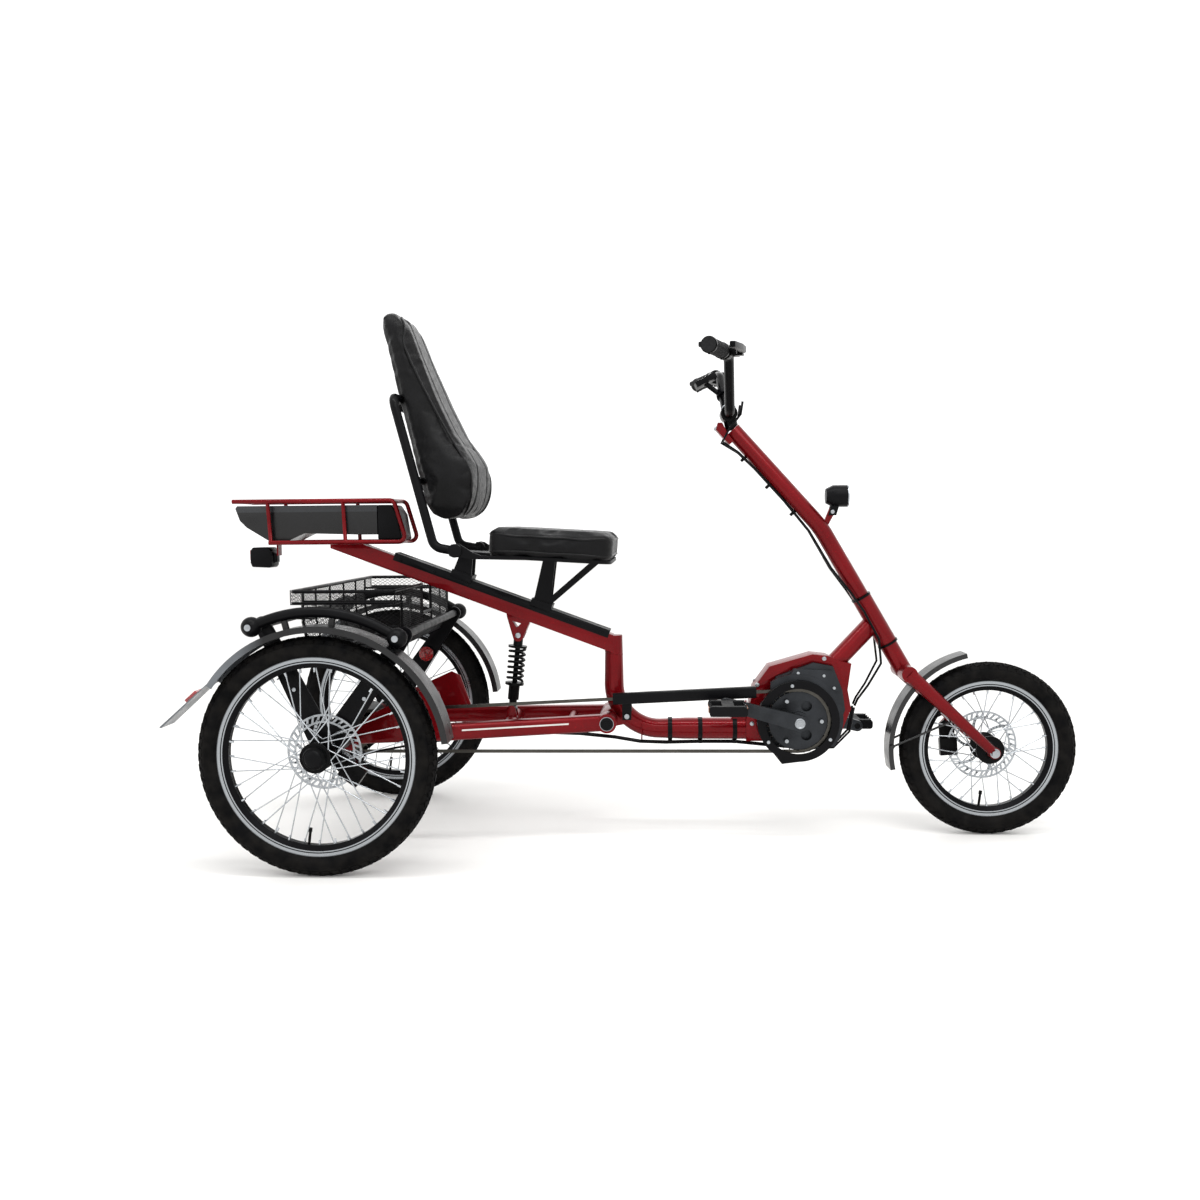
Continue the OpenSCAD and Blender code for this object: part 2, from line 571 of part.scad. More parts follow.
module reflectors() color("#b01018") trike() {
    for (y = [-side_y, side_y]) translate(flap_start + 0.35 * (flap_end - flap_start) + [0, y, 0])
        rotate([0, -flap_lean, 0]) translate([-15, -26, lie_gap]) cube([30, 52, 7]);
    both_sides() across(polar(cog_axle, 170, bow_front_a), plate_y - 5.3, plate_y - lie_gap, 38);
}

// ---- Wheels, drawn round the Y axis with the rider's left side at +Y ----
module spun() rotate([-90, 0, 0]) rotate_extrude($fn = 120) children();
flange_h = 6.5;
module tyre_shape(r) spun() difference() {
    translate([r - tyre_w / 2, 0]) circle(d = tyre_w, $fn = 64);
    translate([r - tyre_w / 2, 0]) circle(d = tyre_w - 7, $fn = 64);
    translate([r - tyre_w - 20, -rim_w / 2 - lie_gap]) square([20 + flange_h + lie_gap, rim_w + 2 * lie_gap]);
}
module rim_shape(b) spun() polygon([[b - 18, -7], [b - 18, 7], [b - 8, rim_w / 2], [b + flange_h, rim_w / 2],
    [b + flange_h, rim_w / 2 - 2], [b - 1, rim_w / 2 - 2], [b - 6, 5], [b - 6, -5],
    [b - 1, 2 - rim_w / 2], [b + flange_h, 2 - rim_w / 2], [b + flange_h, -rim_w / 2], [b - 8, -rim_w / 2]]);
function around(r, a, y) = [r * cos(a), y, r * sin(a)];
flange_r = 32;
module spoke_set(n, rim_r, yf, lead) for (i = [0:n - 1]) {
    side = i % 2 == 0 ? 1 : -1;
    out = floor(i / 2) % 2 == 0 ? 1 : -1;
    a = 360 * i / n;
    rod(around(flange_r + spoke_d / 2 + lie_gap, a - out * lead, side * (yf + out * 1.6)),
        around(rim_r - lie_gap, a, side * (out > 0 ? 4.5 : 1)), spoke_d);
}
cross_rear = 48;
cross_front = 44;
module rear_wheel_at(side) translate([0, side * side_y, rear_r]) mirror([0, side < 0 ? 1 : 0, 0]) children();
module rear_hub() difference() {
    spun() polygon([[0, 33], [14, 31.5], [22, 28], [25, 22], [25, 20], [18, 19.5], [flange_r, 18.5],
        [flange_r, 15.5], [18, 14], [16, 8], [16, -12], [18, -14], [flange_r, -15.5], [flange_r, -18.5],
        [20, -24], [20, -44], [24, -44], [24, -49 + disc_t / 2], [18, -49 + disc_t / 2], [18, -53], [0, -53]]);
    translate([0, 21, 0]) rotate([90, 0, 0]) cylinder(d = stub_d + 2 * run_gap, h = 80);
}
module rear_disc() difference() {
    spun() translate([18.1, -49 - disc_t / 2 - 0.05]) square([disc_d / 2 - 18.1, disc_t]);
    for (a = [0:60:300]) translate(around(44, a, -44)) rotate([90, 0, 0]) cylinder(d = 30, h = 10);
}
module tyre_left() color("#1a1a1c") trike() rear_wheel_at(1) tyre_shape(rear_r);
module tyre_right() color("#1a1a1c") trike() rear_wheel_at(-1) tyre_shape(rear_r);
module rim_left() color("#b9bcc0") trike() rear_wheel_at(1) rim_shape(rear_bead_r);
module rim_right() color("#b9bcc0") trike() rear_wheel_at(-1) rim_shape(rear_bead_r);
module spokes_left() color("#d0d2d5") trike() rear_wheel_at(1) spoke_set(rear_spokes, rear_bead_r - 18, 17, cross_rear);
module spokes_right() color("#d0d2d5") trike() rear_wheel_at(-1) spoke_set(rear_spokes, rear_bead_r - 18, 17, cross_rear);
module hub_left() color("#202124") trike() rear_wheel_at(1) rear_hub();
module hub_right() color("#202124") trike() rear_wheel_at(-1) rear_hub();
module disc_left() color("#a9acb0") trike() rear_wheel_at(1) rear_disc();
module disc_right() color("#a9acb0") trike() rear_wheel_at(-1) rear_disc();
module tyre_front() color("#1a1a1c") trike() translate(front_axle) tyre_shape(front_r);
module rim_front() color("#b9bcc0") trike() translate(front_axle) rim_shape(front_bead_r);
module spokes_front() color("#d0d2d5") trike() translate(front_axle)
    spoke_set(front_spokes, front_bead_r - 18, 26, cross_front);
front_disc_y = 39;
module hub_front() color("#202124") trike() translate(front_axle) difference() {
    spun() polygon([[0, -45], [12, -45], [14, -34], [20, -28], [flange_r, -27.5], [flange_r, -24.5], [20, -18],
        [18, 0], [20, 18], [flange_r, 24.5], [flange_r, 27.5], [20, 28], [22, 32], [22, front_disc_y - disc_t / 2],
        [16, front_disc_y - disc_t / 2], [16, 45], [0, 45]]);
    across([0, 0, 0], -50, 50, axle_d + 2 * run_gap);
}
module disc_front() color("#a9acb0") trike() translate(front_axle) difference() {
    spun() translate([16.1, front_disc_y - disc_t / 2 + 0.05]) square([disc_d / 2 - 16.1, disc_t]);
    for (a = [0:60:300]) translate(around(46, a, front_disc_y + 5)) rotate([90, 0, 0]) cylinder(d = 32, h = 10);
}

// ---- Steering ----
axle_d = 10;
steerer_d = 30;
crown_y = 50;
blade_y = 58;
module fork() color("#7a0410") trike() {
    rod(crown, head_low - 6 * axis_dir, 40);
    rod(head_low - 7 * axis_dir, head_top + 5.5 * axis_dir, steerer_d);
    rod(crown - [0, crown_y + 12, 0], crown + [0, crown_y + 12, 0], 36);
    both_sides() {
        taper(crown + [0, crown_y, 0], front_axle + [0, blade_y, 0], 34, 21);
        across(front_axle, 45.6, blade_y + 6, 26);
    }
    // tab for the brake caliper, on the left blade
    side_plate(front_disc_y + 9, blade_y) polygon([[wheelbase - 97, 246], [wheelbase - 84, 236],
        [wheelbase - 56, 250], [wheelbase - 70, 276]]);
    across(front_axle, -blade_y - 10, blade_y + 10, axle_d);
}
module headset() color("#141518") trike() difference() {
    union() {
        rod(head_top - 14 * axis_dir, head_top + 5 * axis_dir, 34 - 2 * run_gap);
        rod(head_top + lie_gap / 2 * axis_dir, head_top + 5 * axis_dir, head_tube_d + 2);
        rod(head_low - 5 * axis_dir, head_low + 14 * axis_dir, 34 - 2 * run_gap);
        rod(head_low - 5 * axis_dir, head_low - lie_gap / 2 * axis_dir, head_tube_d + 4);
    }
    rod(head_low - 20 * axis_dir, head_top + 20 * axis_dir, steerer_d + 2 * run_gap);
}
fguard_r = 229;
fguard_w = 56;
module front_mudguard() color("#141518") trike() {
    translate(front_axle) rotate([90, 0, 0]) rotate([0, 0, 104]) rotate_extrude(angle = 88, $fn = 120) {
        translate([fguard_r - guard_t, -fguard_w / 2]) square([guard_t, fguard_w]);
        for (y = [-fguard_w / 2, fguard_w / 2 - guard_t]) translate([fguard_r - 11, y]) square([11, guard_t]);
    }
    // lug below the fork crown
    rod(front_axle + (fguard_r - 1) * unit(crown - front_axle),
        front_axle + (norm(crown - front_axle) - 18.3) * unit(crown - front_axle), 24);
    both_sides() {
        rod([wheelbase - 222, 26.5, 208], [wheelbase - 222, 36, 208], 9);
        rod([wheelbase - 222, 32, 208], stay_end, 5);
    }
}
stay_end = front_axle + [0, blade_y, 0] + 0.44 * (crown - front_axle + [0, crown_y - blade_y, 0]) + [-9, -9, -9];
fcal_at = [-74, 0, -4];
module front_caliper() color("#1d1e21") trike() difference() {
    union() {
        translate(front_axle + fcal_at) rotate([0, -4, 0]) translate([-24, front_disc_y - 8, -20]) cube([40, 16, 40]);
        // arm up to the fork blade
        side_plate(front_disc_y + 3.5, front_disc_y + 9 - lie_gap) polygon([[wheelbase - 96, 206],
            [wheelbase - 99, 248], [wheelbase - 86, 258], [wheelbase - 62, 246], [wheelbase - 62, 206]]);
    }
    across(front_axle, front_disc_y - 1.6 - disc_t / 2, front_disc_y + 1.6 + disc_t / 2, disc_d + 3);
}
module column() color("#7a0410") trike() {
    swept(rounded_path([head_top + 5.8 * axis_dir, column_bend, column_top], 260), column_d, 32);
    // clamp lug behind the top, with its two bolts
    side_plate(-17, 17) polygon([xz(column_top) + [-8, -34], xz(column_top) + [-38, 0], xz(column_top) + [-34, 16],
        xz(column_top) + [-24, 16], xz(column_top) + [-12, -8], xz(column_top) + [2, -26]]);
    // tab that carries the headlamp
    side_plate(-5, 5) polygon([xz(column_bend) + [8, -14], xz(column_bend) + [8, 12], xz(lamp_pivot) + [-6, 8],
        xz(lamp_pivot) + [4, 7], xz(lamp_pivot) + [7, -4], xz(lamp_pivot) + [2, -10]]);
    across(lamp_pivot, -12, 12, 6);
}
lamp_pivot = column_bend + [26, 0, 34];
module headlamp() color("#141518") trike() {
    difference() {
        union() {
            both_sides() side_plate(5.4, 10) polygon([xz(lamp_pivot) + [-9, -8], xz(lamp_pivot) + [9, -8],
                xz(lamp_pivot) + [16, 16], xz(lamp_pivot) + [-2, 20]]);
            translate(lamp_pivot + [0, 0, 36]) rotate([0, 90, 0]) {
                translate([0, 0, -14]) cylinder(d1 = 34, d2 = 50, h = 16);
                translate([0, 0, 2]) cylinder(d = 50, h = 34);
            }
        }
        across(lamp_pivot, -12, 12, 6 + 2 * run_gap);
    }
}
module stem() color("#1b1c1f") trike() {
    difference() {
        union() {
            across(clamp, -27, 27, 38);
            rod(column_top + lie_gap * unit(clamp - column_top), clamp, 30);
        }
        across(clamp, -30, 30, bar_d + 2 * run_gap);
        rod(column_bend, column_top + 2 * lie_gap * unit(column_top - column_bend), column_d + 2 * lie_gap);
    }
}
bar_mid_y = 170;
bar_knee = clamp + [-10, bar_mid_y, bar_rise];
bar_end = clamp + [-60, bar_w / 2, bar_rise - 4];
function other(p) = [p.x, -p.y, p.z];
grip_dir = unit(bar_end - bar_knee);
grip_fwd = unit([grip_dir.y, -grip_dir.x, 0]);
grip_top = cross(grip_fwd, grip_dir);
control = bar_knee + 34 * grip_dir;          // where a brake lever's clamp sits
module at_control() multmatrix([[grip_fwd.x, grip_dir.x, grip_top.x, control.x],
    [grip_fwd.y, grip_dir.y, grip_top.y, control.y], [grip_fwd.z, grip_dir.z, grip_top.z, control.z],
    [0, 0, 0, 1]]) children();
module handlebar() color("#1b1c1f") trike() {
    across(clamp, -30, 30, bar_d);
    both_sides() swept(rounded_path([clamp + [0, 29, 0], clamp + [0, 50, 0], bar_knee, bar_end], 40), bar_d - 0.2, 20);
    both_sides() at_control() {
        difference() {
            union() {
                rotate([90, 0, 0]) translate([0, 0, -9]) cylinder(d = 34, h = 18);
                translate([8, -26, -9]) cube([18, 38, 18]);
                for (z = [-10, 6.3]) translate([20, -6, z]) cube([20, 16, 3.7]);
            }
            rotate([90, 0, 0]) translate([0, 0, -12]) cylinder(d = bar_d - 1, h = 24);
        }
        translate([34, 2, -10]) cylinder(d = 5, h = 20);
    }
}
module grips() color("#26272b") trike() both_sides() difference() {
    union() {
        rod(control + 24 * grip_dir, bar_end + 1 * grip_dir, 33);
        translate(bar_end - 40 * grip_dir) hull() {
            translate([0, 0, 2]) turn_to(grip_dir) cylinder(d = 22, h = 36);
            translate([-24, -8, 2]) turn_to(grip_dir) cylinder(d = 12, h = 36);
        }
    }
    rod(control, bar_end + 1.2 * grip_dir, bar_d + 0.2);
}
module lever_blade() at_control() translate([34, 2, 0]) difference() {
    translate([0, 0, -6]) linear_extrude(12) difference() {
        union() {
            circle(r = 7);
            polygon([[-7, 0], [2, -6], [16, 14], [20, 60], [16, 108], [9, 112], [4, 106], [8, 60], [4, 20]]);
        }
    }
    translate([0, 0, -10]) cylinder(d = 5 + 2 * run_gap, h = 20);
}
module brake_lever_left() color("#2a2b2f") trike() lever_blade();
module brake_lever_right() color("#2a2b2f") trike() mirror([0, 1, 0]) lever_blade();
display_on = clamp + [-5.2, 112, 57.3];
module display() color("#101114") trike() {
    difference() {
        union() {
            rod(display_on - 8 * unit([-10, 122, 111]), display_on + 8 * unit([-10, 122, 111]), 33);
            rod(display_on + [-12, 0, 4], display_on + [-46, 0, 30], 12);
        }
        rod(display_on - 30 * unit([-10, 122, 111]), display_on + 30 * unit([-10, 122, 111]), bar_d + 0.2);
    }
    translate(display_on + [-42, 0, 32]) rotate([0, -28, 0]) translate([-26, -34, -6]) cube([52, 68, 13]);
}

// ---- Seat ----
seat_pitch = 3.5;
seat_ref = [322, 0, 652];
module on_seat() translate(seat_ref) rotate([0, seat_pitch, 0]) children();
shoe_front = 165;
shoe_rear = -32;
module shoe(s) rail_at(s - 25, rail_t + lie_gap) {
    translate([0, -31, slide_gap]) cube([50, 62, 9]);
    both_sides() translate([0, beam_w / 2 + 3.5 + slide_gap, 1.2 - rail_t]) cube([50, 31 - beam_w / 2 - 3.5 - slide_gap, 9 + rail_t]);
}
function rail_point(s, u) = beam_ref + s * beam_dir + u * beam_up;
module seat_base() color("#1b1c1f") trike() {
    on_seat() translate([seat_l / 2, 0, 0]) linear_extrude(7.7) polygon(round_rect(seat_l - 20, seat_w - 40, 40));
    on_seat() translate([-78, -60, 0]) cube([100, 120, 7.7]);
    shoe(shoe_front);
    shoe(shoe_rear);
    both_sides() {
        side_plate(20, 25) polygon([xz(rail_point(shoe_front - 20, 16)), xz(rail_point(shoe_front + 20, 16)),
            [468, 646], [440, 648]]);
        side_plate(20, 25) polygon([xz(rail_point(shoe_front + 4, 16)), xz(rail_point(shoe_front + 20, 16)),
            [574, 638], [552, 639]]);
        side_plate(20, 25) polygon([xz(rail_point(shoe_rear - 22, 16)), xz(rail_point(shoe_rear + 22, 16)),
            [276, 658], [246, 659]]);
        side_plate(back_y + 11, back_y + 16) polygon([[248, 656], [252, 682], [272, 682], [300, 664],
            [318, 657], [430, 651], [430, 646], [300, 649]]);
        across(recline, back_y - 14, back_y + 18, 12);
        across(recline, back_y + 16, back_y + 26, 30);
    }
}
module seat_cushion() color("#202124") trike() on_seat() translate([seat_l / 2, 0, 8])
    linear_extrude(seat_t) polygon(round_rect(seat_l, seat_w, 48));
back_foot = [212, 0, 676];
back_head = [126, 0, 1005];
back_dir = unit(back_head - back_foot);
module backrest_frame() color("#1b1c1f") trike() {
    difference() {
        union() {
            swept(rounded_path([[254, -back_y, 668], back_foot - [0, back_y, 0], back_head - [0, back_y, 0],
                back_head + [0, back_y, 0], back_foot + [0, back_y, 0], [254, back_y, 668]], 26), back_tube_d, 20);
            both_sides() across(recline, back_y - 9, back_y + 9, 28);
        }
        both_sides() across(recline, back_y - 20, back_y + 20, 12 + 2 * run_gap);
    }
    rod(back_foot - [0, back_y, 0] + 150 * back_dir, back_foot + [0, back_y, 0] + 150 * back_dir, 14);
    // mounting plates behind the cushion
    for (s = [150, 335]) translate(back_foot + s * back_dir) turn_to(back_dir)
        translate([back_tube_d / 2 - 4, -60, -16]) cube([4, 120, 32]);
}
back_gap = 0.3;
module backrest_cushion() color("#202124") trike() intersection() {
    side_plate(-back_w_low / 2, back_w_low / 2) polygon(concat(
        [back_face(742), back_face(1198), back_face(1206) + [6, 4]],
        [[112, 1211], [133, 1180], [168, 1090], [206, 1000], [241, 930], [276, 880], [292, 852],
        [298, 825], [292, 775], [280, 750], [262, 736], [232, 730]]));
    rotate([90, 0, 90]) translate([0, 0, 40]) linear_extrude(300) polygon(concat(
        [[-back_w_low / 2 + 30, 720], [back_w_low / 2 - 30, 720], [back_w_low / 2, 760], [back_w_low / 2, 860]],
        arc([back_w_top / 2 - 40, 1212 - 40], 40, 0, 90, 5), arc([40 - back_w_top / 2, 1212 - 40], 40, 90, 180, 5),
        [[-back_w_low / 2, 860], [-back_w_low / 2, 760]]));
}
function back_face(z) = [back_foot.x + (z - back_foot.z) * back_dir.x / back_dir.z
    + (back_tube_d / 2 + back_gap) / back_dir.z, z];

// ---- Suspension strut ----
strut_dir = unit(shock_low - shock_top);
strut_l = norm(shock_low - shock_top);
module on_strut() translate(shock_top) turn_to(strut_dir) children();
spring_from = 30.3;
spring_to = 112;
module shock_body() color("#141518") trike() {
    across(shock_top, -10.8, 10.8, 24);
    across(shock_top, -15, 15, 10 - 2 * run_gap);
    on_strut() {
        translate([0, 0, 8]) cylinder(d = 22, h = 20);
        translate([0, 0, 25]) cylinder(d = spring_d + 2, h = 5);
        translate([0, 0, 28]) cylinder(d = 12, h = 104);
    }
}
module shock_rod() color("#202124") trike() difference() {
    union() {
        across(shock_low, -10.8, 10.8, 23);
        on_strut() translate([0, 0, spring_to + lie_gap]) {
            cylinder(d = spring_d + 2, h = 6);
            cylinder(d = 26, h = strut_l - spring_to - 24);
            cylinder(d = 18, h = strut_l - spring_to - 8);
        }
    }
    on_strut() translate([0, 0, 100]) cylinder(d = 12 + 2 * run_gap, h = 58);
    across(shock_low, -12, 12, 13);
}
module shock_spring() color("#1b1c1f") trike() on_strut() {
    n = 10 * spring_turns;
    swept([for (i = [0:n]) [(spring_d - spring_wire) / 2 * cos(36 * i), (spring_d - spring_wire) / 2 * sin(36 * i),
        spring_from + spring_wire / 2 + (spring_to - spring_from - spring_wire) * i / n]], spring_wire, 8);
}

// ---- Cables ----
cable_runs = [
    [[1154, -12, 296], [1144, -12, 240], [1108, -10, 202], [1040, -8, 199], [960, -8, 206], [880, -8, 214],
        [800, -8, 214], [720, -8, 212], [660, -8, 214], [600, -8, 224], [520, -8, 232], [420, -10, 236],
        [300, -30, 232], [160, -60, 222], [80, -130, 218], [40, -220, 224], [56, -260, 238],
        [80, -282, 247], [84, -289, 240], [73.35, -289, 224.1]],
    [[1154, 12, 296], [1144, 12, 240], [1108, 10, 202], [1040, 8, 199], [960, 8, 206], [880, 8, 214],
        [800, 8, 214], [720, 8, 212], [660, 8, 214], [600, 8, 224], [520, 10, 232], [420, 14, 236],
        [300, 36, 232], [160, 72, 222], [80, 130, 218], [40, 220, 224], [56, 260, 238],
        [80, 282, 247], [84, 289, 240], [73.35, 289, 224.1]]];
module frame_cables() color("#101114") trike() for (run = cable_runs) swept(run, 5);
column_runs = [
    [[896, -42, 996], [892, -38, 968], [868, -33, 938], [852, -26, 908], [889, -10, 884], [927, -6, 847],
        [994, -6, 773], [1050, -6, 704], [1100, -12, 618], [1140, -24, 566], [1172, -30, 520], [1206, -30, 456],
        [1212, -26, 400], [1184, -18, 348], [1162, -13, 316], [1155, -12, 300]],
    [[896, 42, 996], [892, 38, 968], [868, 33, 938], [852, 26, 908], [889, 10, 884], [927, 6, 847],
        [994, 6, 773], [1050, 6, 704], [1100, 12, 618], [1140, 24, 566], [1172, 30, 520], [1206, 30, 456],
        [1212, 26, 400], [1184, 18, 348], [1162, 13, 316], [1155, 12, 300]]];
module column_cables() color("#101114") trike() for (run = column_runs) swept(run, 5);

main_frame();
seat_rail();
rear_rack();
battery_dock();
battery_pack();
rear_lamp();
motor_housing();
chain_case();
chain_tube();
chain();
frame_cables();
headset();
swingarm();
pivot_bolt();
rear_axle();
rear_calipers();
mudguard_left();
mudguard_right();
wheel_bows();
basket_brackets();
basket();
reflectors();
drive_sprocket();
tyre_left();
rim_left();
spokes_left();
hub_left();
disc_left();
tyre_right();
rim_right();
spokes_right();
hub_right();
disc_right();
tyre_front();
rim_front();
spokes_front();
hub_front();
disc_front();
fork();
front_mudguard();
front_caliper();
column();
column_cables();
headlamp();
stem();
handlebar();
grips();
brake_lever_left();
brake_lever_right();
display();
crankset();
pedal_left();
pedal_right();
seat_base();
seat_cushion();
backrest_frame();
backrest_cushion();
shock_body();
shock_rod();
shock_spring();
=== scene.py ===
# Looks of a sprung adult tricycle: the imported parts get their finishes, and the pieces that need
# finer shapes are built here. Lengths are in millimetres from the ground below the rear axle,
# +X forward, +Y to the rider's left, +Z up, and each piece is put into the row frame when it is made.
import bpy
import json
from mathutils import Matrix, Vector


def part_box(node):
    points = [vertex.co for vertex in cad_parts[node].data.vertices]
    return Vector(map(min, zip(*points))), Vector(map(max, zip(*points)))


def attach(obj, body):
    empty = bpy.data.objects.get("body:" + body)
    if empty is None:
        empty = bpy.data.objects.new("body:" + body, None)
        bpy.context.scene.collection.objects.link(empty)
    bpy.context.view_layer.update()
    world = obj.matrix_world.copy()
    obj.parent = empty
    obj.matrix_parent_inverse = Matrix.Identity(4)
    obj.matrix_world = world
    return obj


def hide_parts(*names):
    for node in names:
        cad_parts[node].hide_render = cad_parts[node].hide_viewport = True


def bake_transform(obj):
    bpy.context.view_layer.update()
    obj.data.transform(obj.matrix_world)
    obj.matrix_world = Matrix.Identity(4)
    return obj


bl_info = {
    "name": "Adult Tricycle Looks",
    "version": (1, 0, 0),
    "blender": (4, 5, 0),
    "location": "3D View > Sidebar > Tricycle",
    "description": "Tyres, cushions, basket, trim and finishes of an adult tricycle",
    "category": "Object",
}

import json
import math

import bmesh
import bpy
from bpy.props import FloatProperty, FloatVectorProperty, PointerProperty
from mathutils import Matrix, Vector
from mathutils.bvhtree import BVHTree

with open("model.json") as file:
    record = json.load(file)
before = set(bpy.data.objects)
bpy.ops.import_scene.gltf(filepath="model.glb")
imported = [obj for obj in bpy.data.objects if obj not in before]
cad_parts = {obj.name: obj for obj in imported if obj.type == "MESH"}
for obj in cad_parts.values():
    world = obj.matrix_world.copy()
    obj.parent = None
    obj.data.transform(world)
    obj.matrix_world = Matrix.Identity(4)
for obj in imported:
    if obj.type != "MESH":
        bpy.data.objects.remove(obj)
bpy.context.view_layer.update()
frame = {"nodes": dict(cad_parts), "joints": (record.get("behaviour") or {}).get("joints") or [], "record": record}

RECORD = frame["record"]
BODY_OF = {node: body for body, nodes in RECORD["behaviour"]["bodies"].items() for node in nodes}
REAR_X = sum(corner.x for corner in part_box("tyre_left")) / 2
TO_ROW = Matrix.Translation((REAR_X, 0, 0)) @ Matrix.Scale(0.001, 4)
TO_MM = TO_ROW.inverted()
WHEELS = ("left", "right", "front")


def node_box(node):
    """The lowest and highest corner of a CAD node, in millimetres from below the rear axle."""
    return tuple(TO_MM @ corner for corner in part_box(node))


def middle(node):
    low, high = node_box(node)
    return (low + high) / 2


# ---- Finishes ----

def linear(hex_colour):
    """An sRGB hex colour as the linear colour that a shader takes."""
    shares = [int(hex_colour[i:i + 2], 16) / 255 for i in (0, 2, 4)]
    return tuple(s / 12.92 if s <= 0.04045 else ((s + 0.055) / 1.055) ** 2.4 for s in shares) + (1.0,)


def add(tree, kind, inputs, output=0, **settings):
    """Adds a shader node with its settings, sets or links its inputs, and returns one of its outputs."""
    node = tree.nodes.new("ShaderNode" + kind)
    for name, value in settings.items():
        setattr(node, name, value)
    for name, value in inputs.items():
        if isinstance(value, bpy.types.NodeSocket):
            tree.links.new(value, node.inputs[name])
        else:
            node.inputs[name].default_value = value
    return node.outputs[output]


def start(name):
    """A new material, its tree, and the Object coordinates that its patterns are laid on."""
    material = bpy.data.materials.new(name)
    material.use_nodes = True
    return material, material.node_tree, add(material.node_tree, "TexCoord", {}, "Object")


def dress(material, colour, roughness, normal=None, **sockets):
    """Links colour, roughness and normal, and sets the other sockets on the shader itself."""
    shader = material.node_tree.nodes["Principled BSDF"]
    for name, value in (("Base Color", colour), ("Roughness", roughness), ("Normal", normal)):
        if value is not None:
            material.node_tree.links.new(value, shader.inputs[name])
    for name, value in sockets.items():
        shader.inputs[name.replace("_", " ").title().replace("Ior", "IOR")].default_value = value
    return material


def colour_of(name):
    """A main colour of the tricycle, as the linear colour that a shader takes."""
    return tuple(getattr(bpy.context.scene.tricycle_colours, name))


def shade(colour, share):
    """A lighter or darker shade of a linear colour."""
    return tuple(min(c * share, 1.0) for c in colour[:3]) + (1.0,)


def uneven(tree, place, size, low, high):
    """A value that wanders between low and high over patches of about size millimetres."""
    cloud = add(tree, "TexNoise", {"Vector": place, "Scale": 1000 / size, "Detail": 3.0}, "Fac")
    return add(tree, "MapRange", {"Value": cloud, "From Min": 0.35, "From Max": 0.65, "To Min": low,
                                  "To Max": high})


def blotches(tree, place, colour, size, spread=0.25):
    """Darker and lighter shades of a colour in soft patches of about size millimetres."""
    return add(tree, "Mix", {0: uneven(tree, place, size, 0.0, 1.0), 6: shade(colour, 1 - spread),
                             7: shade(colour, 1 + spread)}, 2, data_type="RGBA")


def from_axle(tree, place, wheel):
    """Distance from a wheel's axle, in metres."""
    off = add(tree, "VectorMath", {0: place, 1: TO_ROW @ wheel_facts(wheel)[0]}, operation="SUBTRACT")
    flat = add(tree, "VectorMath", {0: off, 1: (1.0, 0.0, 1.0)}, operation="MULTIPLY")
    return add(tree, "VectorMath", {0: flat}, "Value", operation="LENGTH")


def metallic_lacquer(name="red metallic lacquer", stripe=False):
    """Red lacquer with metal flake under clear coat: deep where it turns away, with painted glints on some flakes.
    """
    material, tree, place = start(name)
    red = colour_of("lacquer")
    # Flakes of 1.6 mm, much larger than the real ones, so that they show
    flake = add(tree, "TexVoronoi", {"Vector": place, "Scale": 1000 / 1.6}, "Color")
    glint = add(tree, "SeparateColor", {"Color": flake}, "Red")
    # The brightest flakes get a lighter red in the base colour: painted glints
    painted_glint = add(tree, "MapRange", {"Value": glint, "From Min": 0.86, "From Max": 1.0, "To Max": 0.5})
    colour = add(tree, "Mix", {0: painted_glint, 6: blotches(tree, place, red, 110, 0.14), 7: shade(red, 2.0)}, 2,
                 data_type="RGBA")
    if stripe:
        share = stripe_share(tree, place)
        white = blotches(tree, place, colour_of("stripe"), 30, 0.06)
        colour = add(tree, "Mix", {0: share, 6: colour, 7: white}, 2, data_type="RGBA")
    peel = add(tree, "TexNoise", {"Vector": place, "Scale": 1000 / 7, "Detail": 2.0}, "Fac")
    normal = add(tree, "Bump", {"Height": peel, "Distance": 0.00003})
    gloss = add(tree, "MapRange", {"Value": glint, "To Min": 0.3, "To Max": 0.42})
    return dress(material, colour, gloss, normal, metallic=0.6, specular_ior_level=0.1, coat_weight=0.22,
                 coat_roughness=0.05)


def stripe_share(tree, place):
    """Where the swingarm's thin stripe lies: along the outside of each rail, a little above its middle."""
    axes = add(tree, "SeparateXYZ", {"Vector": place}, 0).node.outputs
    rise = (RAIL_FRONT.z - RAIL_REAR.z) / (RAIL_FRONT.x - RAIL_REAR.x)
    spread = (RAIL_REAR.y - RAIL_FRONT.y) / (RAIL_FRONT.x - RAIL_REAR.x)
    front, rear = TO_ROW @ RAIL_FRONT, TO_ROW @ RAIL_REAR
    line = add(tree, "Math", {0: axes["X"], 1: rise, 2: rear.z - rise * rear.x + STRIPE_LIFT / 1000},
               operation="MULTIPLY_ADD")
    off = add(tree, "Math", {0: axes["Z"], 1: line}, operation="SUBTRACT")
    off = add(tree, "Math", {0: off}, operation="ABSOLUTE")
    share = add(tree, "Math", {0: off, 1: STRIPE_WIDTH / 2000}, operation="LESS_THAN")
    across = add(tree, "Math", {0: axes["Y"]}, operation="ABSOLUTE")
    face = add(tree, "Math", {0: axes["X"], 1: -spread, 2: front.y + 0.012 + spread * front.x},
               operation="MULTIPLY_ADD")
    ends = [(TO_ROW @ Vector((x, 0, 0))).x for x in STRIPE_ENDS]
    edges = (add(tree, "Math", {0: across, 1: face}, operation="GREATER_THAN"),
             add(tree, "Math", {0: axes["X"], 1: ends[0]}, operation="GREATER_THAN"),
             add(tree, "Math", {0: axes["X"], 1: ends[1]}, operation="LESS_THAN"))
    for edge in edges:
        share = add(tree, "Math", {0: share, 1: edge}, operation="MULTIPLY")
    return share


